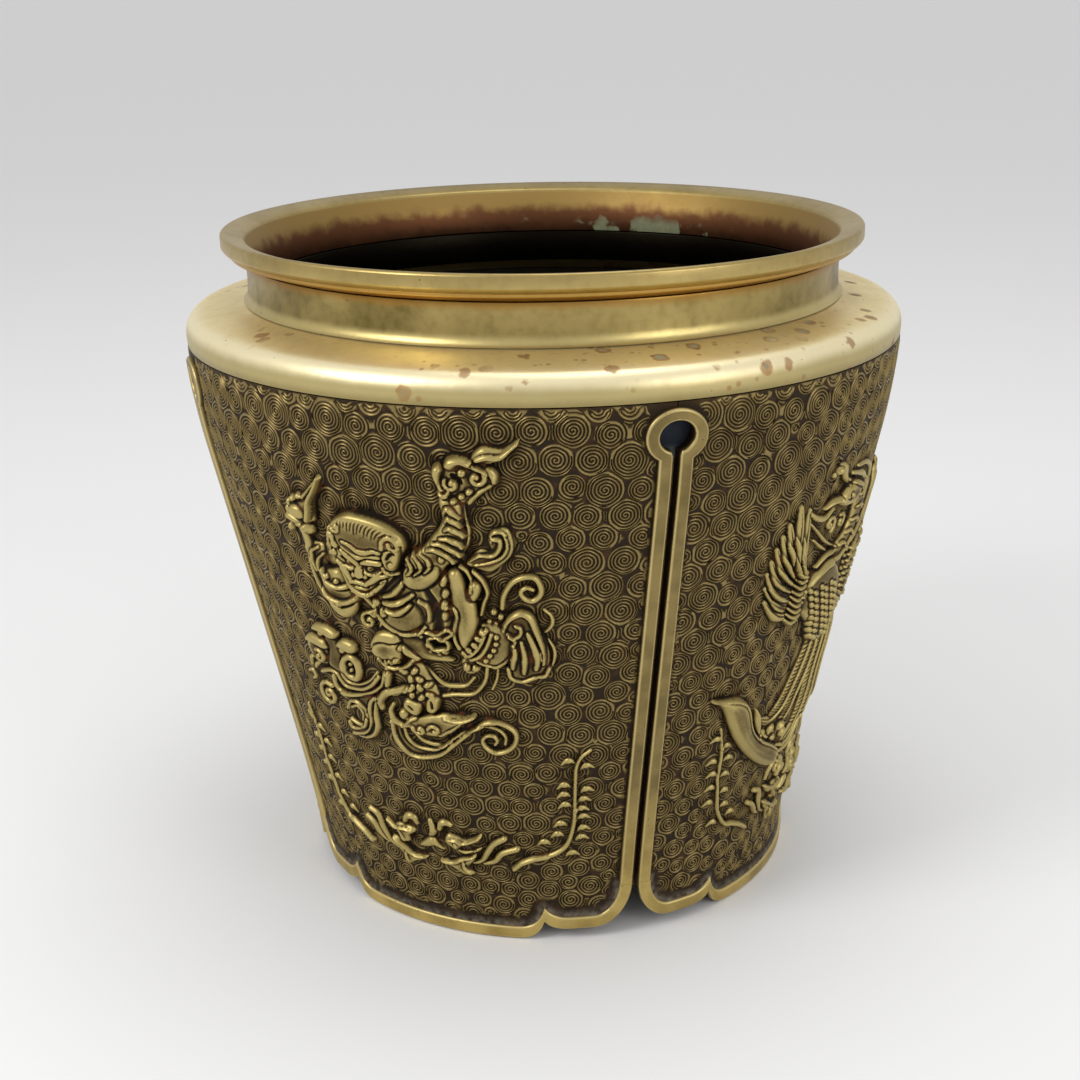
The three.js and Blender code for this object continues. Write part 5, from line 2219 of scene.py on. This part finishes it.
    def face(self) -> None:
        """The frowning face: folds, brows, eyes, nose, cheeks and mouth."""
        self.roll("-9.4,161.8 2.8,-1 2.6,-1.8 2.6,-0.1 3,0.9 2.4,-0.4", 2.0, 1.0, 4.6, SPINDLE, moat=0.8)
        self.roll("-9.8,159.6 2.6,-1.8 2.8,-1.2 3.4,0.8 4.6,0.2", 1.7, 0.7, 4.6, SPINDLE)
        self.groove("-10.6,155.6 2,-1.2 2.4,-1; -3.2,153.4 2.6,-0.6 3.4,0.6", 3.0, 1.5, SPINDLE)
        self.roll(
            "-10.6,158.6 2.4,-2 2.6,-2; -3.7,154.7 2.7,0.8 4.2,0.1",
            2.0, 1.7, 4.4, (0.5, 1, 0.9), moat=0.8,
        )
        self.ball("-8.4,154.4 7.5,-1.6", 2.6, 1.1, 1.9, level=3.8)
        self.groove("-8.3,154.3 0.3,-0.1; -0.8,152.8 0.3,0", 0.9, 0.7)
        self.roll("-10.2,152.8 1.8,-0.9 1.6,0.3; -2.8,151.4 2.8,-0.7 2.8,1.1", 1.0, 0.8, 4.0)
        self.roll("-4.9,154.4 -0.1,-2 -0.1,-2", 2.9, 1.7, 4.2, (0.5, 0.9, 1.1), moat=0.7)
        self.ball("-5.1,150", 3.4, 1.0, 2.5, level=4.8)
        self.ball("-7.1,149.7 4,0.1", 2.1, 1.1, 1.8, level=4.4)
        self.groove("-7,148.3 2,-0.3 2,0.3", 1.1, 1.1, SPINDLE)
        # cheeks run down beside the mouth, jaw and chin run round it
        self.roll(
            "-13,153.8 2,-1.6 1.2,-2.6 1,-2.4; 4.6,150.8 -2.8,-0.6 -2.6,-1.8 -2.2,-1.5",
            2.4, 1.4, 4.0, (0.7, 1, 0.7), moat=0.7,
        )
        self.roll(
            "-13,150.6 1.6,-3.2 1.4,-2.4 2.2,-1.8 2.8,-1.1 3,1.2 3.4,2.9 1.8,2.4",
            2.3, 1.3, 3.4, SPINDLE, moat=0.7,
        )
        self.roll("-8.8,146.7 2.6,0.5 2.8,-0.8", 1.5, 1.1, 4.2)
        self.groove("-9,145.6 3,0.4 3.4,-0.5", 1.0, 1.3, SPINDLE)
        self.roll("-7.8,145 2.2,0.2 2.2,-0.4", 1.4, 1.0, 4.0, SPINDLE)
        self.ball("-1.9,143.2 -1.3,-0.8 5.1,5.8", 1.6, 0.8, level=4.0)


@dataclass
class PhoenixFigure(AppliedRelief):
    """The phoenix in flight, its wings spread and its plumes trailing."""

    left: float = -66.0
    right: float = 66.0
    bottom: float = 42.0
    top: float = 182.0

    def stages(self) -> Sequence[Callable[[], None]]:
        """The methods that lay the strokes, from the far things to the near ones."""
        wings = (self.far_wing, self.plumes, self.tail_curls, self.near_wing)
        return (*wings, self.body, self.neck, self.head)

    def far_wing(self) -> None:
        """The far wing, swept back to the right."""
        self.mass(
            "-8,134 8,6 8,9 10,7 10,3 10,-2 5,-7 2,-9 -1,-9 -6,-8 -10,-6 -12,-4 -10,-2 -8,4",
            1.4, 4,
        )
        tips = points_of("19,112 10,3.5 8,4.5 5.5,6.5 3,8 0,8.5 -3.5,8 -6,6 -8,3.5")
        for k, (x, y) in enumerate(tips):
            root_x, root_y = 2 + 0.3 * k, 118 + 2.4 * k
            out, up = x - root_x, y - root_y
            bow = f"{0.4 * out},{0.4 * up - 3.4} {0.4 * out},{0.4 * up + 0.4} {0.2 * out},{0.2 * up + 3}"
            feather = f"{root_x},{root_y} {bow} -0.6,2.4"
            self.roll(feather, 5.4, 1.6, 0.7, (0.7, 0.9, 1.1, 0.4), moat=0.6)
            self.groove(feather, 0.7, 0.4)
        for k in range(8):
            root = f"{1 + 0.2 * k},{119 + 2.4 * k}"
            covert = f"{root} {7 + 0.3 * k},{0.7 * k - 4} {6 - 0.1 * k},{0.5 * k + 2.4}"
            self.roll(covert, 4.2, 1.2, 1.6, (0.6, 1.1, 0.6), moat=0.6)

    def plumes(self) -> None:
        """The tail plumes: long waved ones with barbs, and the great one on the left."""
        plumes = (
            "8,110 6,-10 -1,-12 2,-12 6,-9 8,-5", "5,110 3,-11 -2,-11 1,-12 -2,-10 4,-10",
            "0,110 1,-11 -2,-11 0,-11 -4,-10 -8,-7",
            "-5,109 -1,-10 -3,-9 -4,-8 -3,-8 -8,-6", "-10,109 -3,-11 -4,-9 -4,-8 -6,-5 -6,1",
        )
        for plume in plumes:
            self.roll(plume, 6.6, 1.5, 0.4, (0.8, 1, 1, 0.4), moat=0.5)
            self.roll(plume, 1.3, 0.7, 1.0, THINNING)
            self.barbs(plume, 2.6)
        self.mass("-38,83.5 1,-6.5 3,-6 3,-2.5 -1.5,7 -2,5", 2.4, 1.9)
        self.ball("-30.5,71 3,-2.5 5,-2 -2.5,5 6,-0.5 4.5,-4.5", 4.6, 1.5, 3.4, turn=40, level=0.6)
        self.mass(
            "-61,91 5,1 6,-0.5 4.5,-2.5 3.5,-4.5 3.5,-7 4.5,-5.5 5.5,-3.5 6.5,-3.5 5,-3.5 1,-4 -1.5,-3 "
            "-5,0.5 -7.5,4 -8,6 -7,7 -5,6.5 -4.5,7 -3,3.5",
            3.9, 5.4, edge=0.7, moat=0.8,
        )
        self.roll("-60.5,91 5.5,0 5.5,-1 5,-3 3.5,-5.5 4,-7 6,-5.5 7,-4 6,-4", 1.3, 0.8, 1.6, SPINDLE)

    def barbs(self, plume: str, reach: float) -> None:
        """Cuts slanting barbs on both sides of a plume's quill.

        Args:
            plume: The line of the quill.
            reach: How far the barbs go from it.
        """
        line = smooth(points_of(plume), steps=6)
        for spot, ahead in zip(line[3:-6], line[4:-5]):
            way = (ahead - spot) / np.hypot(*(ahead - spot))
            for out in (np.array([-way[1], way[0]]), np.array([way[1], -way[0]])):
                x, y = spot + 0.7 * out
                aside, along = (reach - 0.7) * out + 1.6 * way
                self.groove(f"{x},{y} {aside},{along}", 0.7, 0.45)

    def tail_curls(self) -> None:
        """Curls at the tail's foot."""
        self.roll(
            "-17,58.5 6,-1.5 6,1 5,3.5 4,4.5; -16,61 6,-1 5,2 4,3.5; -17.5,47 0.5,4 3,2.5 4,-1",
            2.2, 1.3, 0.4, SPINDLE,
        )
        self.curl(-9.6, 49.6, 4.2, 1.4, 130, 1.8, 1.1, 0.3, hand=-1)
        self.curl(2.6, 52, 4.6, 1.5, 60, 1.9, 1.1, 0.3)
        self.roll("8,64 2,-6 4,-4.5 6,-2", 2.2, 1.1, 0.3, (0.8, 1, 0.4))

    def near_wing(self) -> None:
        """The near wing: long outer feathers, then the coverts."""
        feathers = (
            "-49,128 4.5,-4 4.5,-2.5 6,-0.5", "-50.5,133.5 5,-4.5 5,-3 6,-1.5",
            "-51.5,139 4,-5 5,-3.5 7.5,-2.5", "-51,143.5 3,-4.5 4.5,-4 8,-4",
            "-50,148 3,-5 4,-4.5 7,-5", "-48.5,152.5 2.5,-5 3.5,-5.5 6,-6",
            "-46.5,156.5 2,-5.5 3,-6 5,-7", "-43,162.5 1.5,-6.5 1,-7 3,-8.5 4.5,-6.5",
            "-37.5,160.5 0.5,-7.5 0.5,-7 2.5,-7 4,-5",
        )
        for feather in feathers:
            self.roll(feather, 5.0, 1.9, 0.7, (0.35, 1.1, 0.8), moat=0.6)
            self.groove(feather, 0.8, 0.6, SPINDLE)
        self.mass(
            "-38,141 4,-1.5 3.5,-4.5 3.5,-5 0.5,-6 -2,-5 -4.5,-1.5 -3.5,3.5 -1,6 -1,7",
            3.0, 4, edge=1.0,
        )
        for k in range(9):
            x, y = -38 + 0.1 * k, 138 - 2.3 * k
            self.roll(f"{x},{y} 3.6,-2 4,0.4", 1.7, 1.1, 2.0, SPINDLE, moat=0.6)

    def body(self) -> None:
        """The scaled body and the crest of its back."""
        self.mass(
            "-31,129.5 5,5 6,2.5 6.5,-0.5 6.5,-3.5 5,-5.5 3.5,-8 0.5,-8 -3.5,-7 -5,-1.5 -5.5,3.5 -6,5.5 "
            "-7,5.5 -4.5,5",
            4.4, 8, edge=1.4, moat=0.9,
        )
        for row in range(8):
            for k in range(6):
                x = -27.6 + 3.8 * k + 1.7 * row
                y = 129 - 3.1 * row - 0.2 * k - 1.5 * (k % 2)
                if x < 0.2 - 0.2 * row and y > 104:
                    self.ball(f"{x},{y}", 3.4, 0.9, 2.3, turn=-38, level=2.4, moat=0.7)
        self.roll("-31,127.5 5,5.5 7,3 7,0.5 7,3.5 4,3.5", 2.8, 1.3, 2.4, (0.6, 1, 0.9))
        self.roll("-24.5,136.5 5.5,3 6,0.5 5.5,3", 1.6, 0.9, 1.6, SPINDLE)

    def neck(self) -> None:
        """The neck that loops up to the head, and the ribbons beside it."""
        self.mass(
            "-12,136 8,2.5 6,5 2.5,6.5 -0.5,7 -4.5,5.5 -6.5,3 -5,-1.5 2.5,-3.5 4,-3.5 1.5,-6 -3.5,-5.5 "
            "-5.5,-4",
            2.8, 4, edge=0.8,
        )
        for x, y in points_of("-8.5,140 4.5,3.5 3,4 1,5 -1,5 -3.5,3.5"):
            self.roll(f"{x - 2.6},{y + 1.6} 3,0.6 3,-2.8", 1.5, 1.0, 2.2, SPINDLE)
        self.roll(
            "-34,154.5 5.5,-4 5.5,-4 5.5,-3 5,-2; -29.5,147.5 5.5,-3.5 5,-2.5",
            1.6, 1.0, 0.5, SPINDLE,
        )
        self.curl(-20.4, 151.6, 3.6, 1.3, 300, 1.6, 1.0, 0.3)
        self.curl(-11.4, 150.6, 3.0, 1.3, 120, 1.5, 0.9, 0.3, hand=-1)

    def head(self) -> None:
        """The phoenix's head, beak and crest plumes."""
        self.mass(
            "-21,161 4,3.6 5,1.8 5,-0.8 3,-3.6 -2.4,-3.6 -5.6,-1 -5.6,1",
            3.8, 3.6, edge=1.4, moat=0.8,
        )
        self.roll("-20.6,161.4 -4.4,-0.2 -3.6,-1.8", 2.6, 1.4, 1.6, (1, 0.7, 0.2))
        self.ball("-14.6,162.4", 2.0, 0.9, level=3.0)
        self.groove("-17.4,161.4 2.8,-0.8 2.6,1", 0.8, 0.6)
        self.roll(
            "-36.4,159 4.4,-2.4 5.4,-1 5,2.4; -12.4,169 6,-1.4 5.8,-1.6 6,-3.6",
            2.8, 1.4, 0.5, SPINDLE,
        )
        self.roll("-27.4,171.4 2.8,2.6 3.2,-1 2.4,-3.6 4,-3", 3.6, 1.4, 0.5, SPINDLE)
        self.roll(
            "-15,167.4 7,-2.4 7,-2.6 6,-4.4; -8,170.6 8,-0.6 8,-3.4 6,-6; 4,163.6 6,-4.6 3,-6.4",
            2.1, 1.2, 0.5, SPINDLE,
        )
        self.ball("-25.4,173", 3.8, 1.2, 3.0, level=1.0)


@dataclass
class Spray(AppliedRelief):
    """A leafy stem that rises beside a leg of the border, on the right for a hand of 1, else -1."""

    left: float = 28.0
    right: float = 66.0
    bottom: float = 26.0
    top: float = 82.0
    hand: int = 1

    def stages(self) -> Sequence[Callable[[], None]]:
        """The methods that lay the strokes, from the far things to the near ones."""
        return (self.stem_and_leaves,)

    def stem_and_leaves(self) -> None:
        """The stem with its leaves in two rows."""
        stem = {
            1: "31,30.5 3,2.5 4,1.5 5,0.5 4,1.5 3,2.5 2,4 2,7 1,8 1,8 1,6 2,4 3.5,2.5",
            -1: "-26,30 -4,2.5 -5,2 -3,0.5 -3,3 -3,5 -2,7 -2,7 -1,9 -2,7 -2,5.5",
        }[self.hand]
        leaves = {
            1: ("54.5,74.5 -2.5,-10 -0.5,-4 0,-4.5 -2.5,-8 -1.5,-4.5 -5,-3",
                "60.5,71.5 -1,-10 -1.5,-4 -1,-4 0,-3.5 -0.5,-5 -1,-4 -4,-6.5"),
            -1: ("-53.5,73.5 1,-9.5 1.5,-5.5 1,-6 1,-6.5 4.5,-9.5",
                 "-47.5,70 2.5,-5.5 0.5,-7 2,-7.5 2,-6.5 4.5,-4.5"),
        }[self.hand]
        self.roll(stem, 1.7, 1.1, 0.2, (1.5, 1, 0.7))
        self.roll(points_of(stem)[:4], 3.0, 0.7, 0.3, SPINDLE)
        for side, places in zip((-1, 1), leaves):
            for x, y in points_of(places):
                leaf = f"{x - 2.2 * side},{y - 0.7} {1.1 * side},1.3 {1.8 * side},0.2 {1.8 * side},-1.6"
                self.roll(leaf, 2.5, 1.0, 0.1, (0.3, 1.1, 0.3))


@dataclass
class LeafCluster(AppliedRelief):
    """The cluster of leaves over the middle of the foot."""

    left: float = -30.0
    right: float = 36.0
    bottom: float = 24.0
    top: float = 52.0

    def stages(self) -> Sequence[Callable[[], None]]:
        """The methods that lay the strokes, from the far things to the near ones."""
        return (self.lying, self.long, self.folded, self.upright)

    def lying(self) -> None:
        """Folded leaves that lie along the ground."""
        self.mass(
            "3.5,31 3,1.5 2.5,-0.5 3,1.5 3,1.5 3,1 -1,-3.5 -2,-2 1.5,-3.5 -3,-0.5 -2.5,1 -3,2",
            2.2, 2.0,
        )
        self.mass("-1,31 -3,1 -3.5,0.5 -3,2 -2.5,2 -2.5,0 1.5,-3.5 2.5,-3 2,-4 3.5,2", 2.2, 2.0)
        self.roll(
            "4.5,31.5 4.5,0 4,2 4.5,1.5; 13,33 0.5,-3 2,-2.5; -2,31 -5,0.5 -4,2.5 -4,2; -9.5,32 0,-2.5 "
            "1,-2",
            1.3, 0.9, 1.4, SPINDLE,
        )

    def long(self) -> None:
        """Long leaves on both sides."""
        self.roll(
            "17,32 3,1.5 2.5,4 2.5,3.5 4,2.5; 20.5,32 4,1.5 3,3.5 5.5,2",
            2.6, 1.5, 0.5, (0.5, 1, 0.9),
        )
        self.roll(
            "-27,40.5 3.5,-2 3,-4 3,-2; -24.5,45 3.5,-1.5 1.5,-5 2.5,-4.5 3.5,-2.5",
            2.5, 1.4, 0.5, (0.9, 1, 0.5),
        )

    def folded(self) -> None:
        """The big folded leaves either side of the middle."""
        self.mass("-17.5,44 3.5,-1 3.5,1 5,-0.5 1,-2 -2.5,-2 -0.5,-3 -3,-0.5 -1,3.5 -3.5,1", 2.3, 1.9)
        self.roll("-16.5,43.5 4,-1.5 4,0.5 3,-0.5; -11.5,41 1.5,-2.5 1,-1.5", 1.3, 0.9, 1.5, SPINDLE)
        self.mass("7,41 1.5,3 3.5,-0.5 2.5,-1 3,1 3.5,1.5 -1,-3 -3.5,-1.5 -3,-1 -2,-2 -2.5,1", 2.3, 1.9)
        self.roll("8,41.5 3.5,0.5 3,-1 6,3; 11,40.5 0.5,-2", 1.3, 0.9, 1.5, SPINDLE)

    def upright(self) -> None:
        """Upright leaves, arches and the fan between them."""
        self.roll("1.5,41.5 1.5,3 -1,3.5", 3.2, 1.6, 0.5, (0.7, 1.1, 0.6))
        self.roll(
            "5.5,45.5 1,2.5 2,0.5 1.5,-1; -8.5,45.5 1.5,2.5 2.5,0 1,-2.5",
            2.6, 1.4, 0.5, (0.9, 1.1, 0.6),
        )
        self.mass("-3.5,36.5 2.5,3 2,1.5 2,0 1.5,-2.5 2,-2.5 -3.5,1.5 -2.5,-1", 2.2, 1.6)
        self.roll("17.5,37 -3.5,-1 -2.5,0.5; 17.5,37 2.5,1.5", 1.5, 0.9, 0.4, SPINDLE)




@dataclass
class Studio:
    """A plain pale floor, soft lamps and the camera at the photograph's angle."""

    floor_colour: tuple = (0.86, 0.86, 0.86, 1.0)
    floor_radius: float = 60.0
    world_light: float = 0.72
    world_seen: float = 0.63
    camera_place: tuple = (0.2822, -0.5569, 0.3303)
    azimuth: float = 26.87
    elevation: float = 18.61
    roll: float = -0.0161
    lens: float = 56.72
    shift: float = -0.0068

    def build(self) -> None:
        """Sets up the floor, the world, the lamps and the camera."""
        self.floor()
        self.world()
        self.lamp("key_lamp", (-0.55, -1.0, 0.95), 0.5, 6.5)
        self.lamp("side_lamp", (1.15, -0.35, 0.55), 0.6, 3.0)
        self.lamp("top_lamp", (0.1, 0.15, 1.35), 0.7, 3.0)
        self.camera()
        bpy.context.scene.view_settings.view_transform = "Standard"

    def floor(self) -> None:
        """Lays the floor."""
        deselect()
        bpy.ops.mesh.primitive_circle_add(vertices=96, radius=self.floor_radius, fill_type="NGON")
        floor = bpy.context.object
        floor.name = "studio_floor"
        made = bpy.data.materials.new("studio_floor")
        made.use_nodes = True
        nodes = Nodes(made.node_tree)
        paint = {"Base Color": self.floor_colour, "Roughness": 0.7, "Specular IOR Level": 0.2}
        nodes.show(nodes.add("ShaderNodeBsdfPrincipled", inputs=paint), "ShaderNodeOutputMaterial")
        floor.data.materials.append(made)

    def world(self) -> None:
        """Lights the air softly, and shows it pale to the camera and in the metal."""
        made = bpy.data.worlds.new("studio_air")
        made.use_nodes = True
        nodes = Nodes(made.node_tree)
        kinds = ("Is Camera Ray", "Is Glossy Ray", "Is Transmission Ray")
        seen, glossy, through = (nodes.add("ShaderNodeLightPath", output=kind) for kind in kinds)
        share = seen + glossy + through
        strength = share * (self.world_seen - self.world_light) + self.world_light
        air = nodes.add("ShaderNodeBackground", inputs={"Color": (1, 1, 1, 1), "Strength": strength})
        nodes.show(air, "ShaderNodeOutputWorld")
        bpy.context.scene.world = made

    def lamp(self, name: str, place: tuple, size: float, power: float) -> None:
        """Hangs a soft square lamp that faces the vessel.

        Args:
            name: Its name.
            place: Where it hangs, in metres.
            size: Its width in metres.
            power: Its power in watts.
        """
        light = bpy.data.lights.new(name, "AREA")
        light.size = size
        light.energy = power
        lamp = bpy.data.objects.new(name, light)
        bpy.context.collection.objects.link(lamp)
        lamp.location = place
        towards = Vector((0, 0, 0.12)) - Vector(place)
        lamp.rotation_euler = towards.to_track_quat("-Z", "Y").to_euler()

    def camera(self) -> None:
        """Sets the camera up where the photograph was taken from."""
        view = bpy.data.cameras.new("camera")
        view.lens = self.lens
        view.sensor_width = 36
        view.shift_x = self.shift
        view.clip_start = 0.01
        camera = bpy.data.objects.new("camera", view)
        bpy.context.collection.objects.link(camera)
        turn = Matrix.Rotation(math.radians(self.azimuth), 4, "Z")
        tilt = Matrix.Rotation(math.radians(90 - self.elevation), 4, "X")
        lean = Matrix.Rotation(self.roll, 4, "Z")
        camera.matrix_world = Matrix.Translation(self.camera_place) @ turn @ tilt @ lean
        bpy.context.scene.camera = camera


def merged(parts: Sequence[Clay], step: float = 0.5) -> Clay:
    """Gathers several reliefs into one field over a whole panel.

    Args:
        parts: The finished reliefs.
        step: Distance between the field's points.

    Returns:
        The field of their greatest heights.
    """
    whole = Clay(-80, 80, 0, 212, step)
    for part in parts:
        whole.height = np.maximum(whole.height, part.sampled(part.height, whole.places, SUNK))
    return whole


@dataclass
class Panels:
    """The four relief panels with everything applied to them."""

    ground_finish: Finish = SpiralBronze()

    def build(self) -> None:
        """Makes the demon panels and the phoenix panels."""
        left_spray = Spray(left=-57.0, right=-23.0, hand=-1)
        foliage = {"left_spray": left_spray, "right_spray": Spray(), "leaf_cluster": LeafCluster()}
        figures = {"demon_figure": (DemonFigure(), 0, 17), "phoenix_figure": (PhoenixFigure(), 1, 29)}
        leaves = {part: relief.build(part) for part, relief in foliage.items()}
        for part, (relief, quarter, seed) in figures.items():
            first = relief.build(part)
            ground = SpiralGround(merged([relief, *foliage.values()]), seed).build("ground")
            for side in Side:
                if side.value % 2 == quarter:
                    set_on(side, ground, "carved_relief_panel", "relief_panel", self.ground_finish)
                    for node, carved in {part: first, **leaves}.items():
                        set_on(side, carved, f"carved_{node}", node, relief.finish)
            bpy.data.objects.remove(ground)
            bpy.data.objects.remove(first)
        for leaf in leaves.values():
            bpy.data.objects.remove(leaf)


def main() -> None:
    """Builds the jardiniere and its studio."""
    logging.basicConfig(level=logging.INFO, format="%(message)s")
    Vessel().build()
    Borders().build()
    Panels().build()
    Studio().build()


if __name__ == "__main__":
    main()
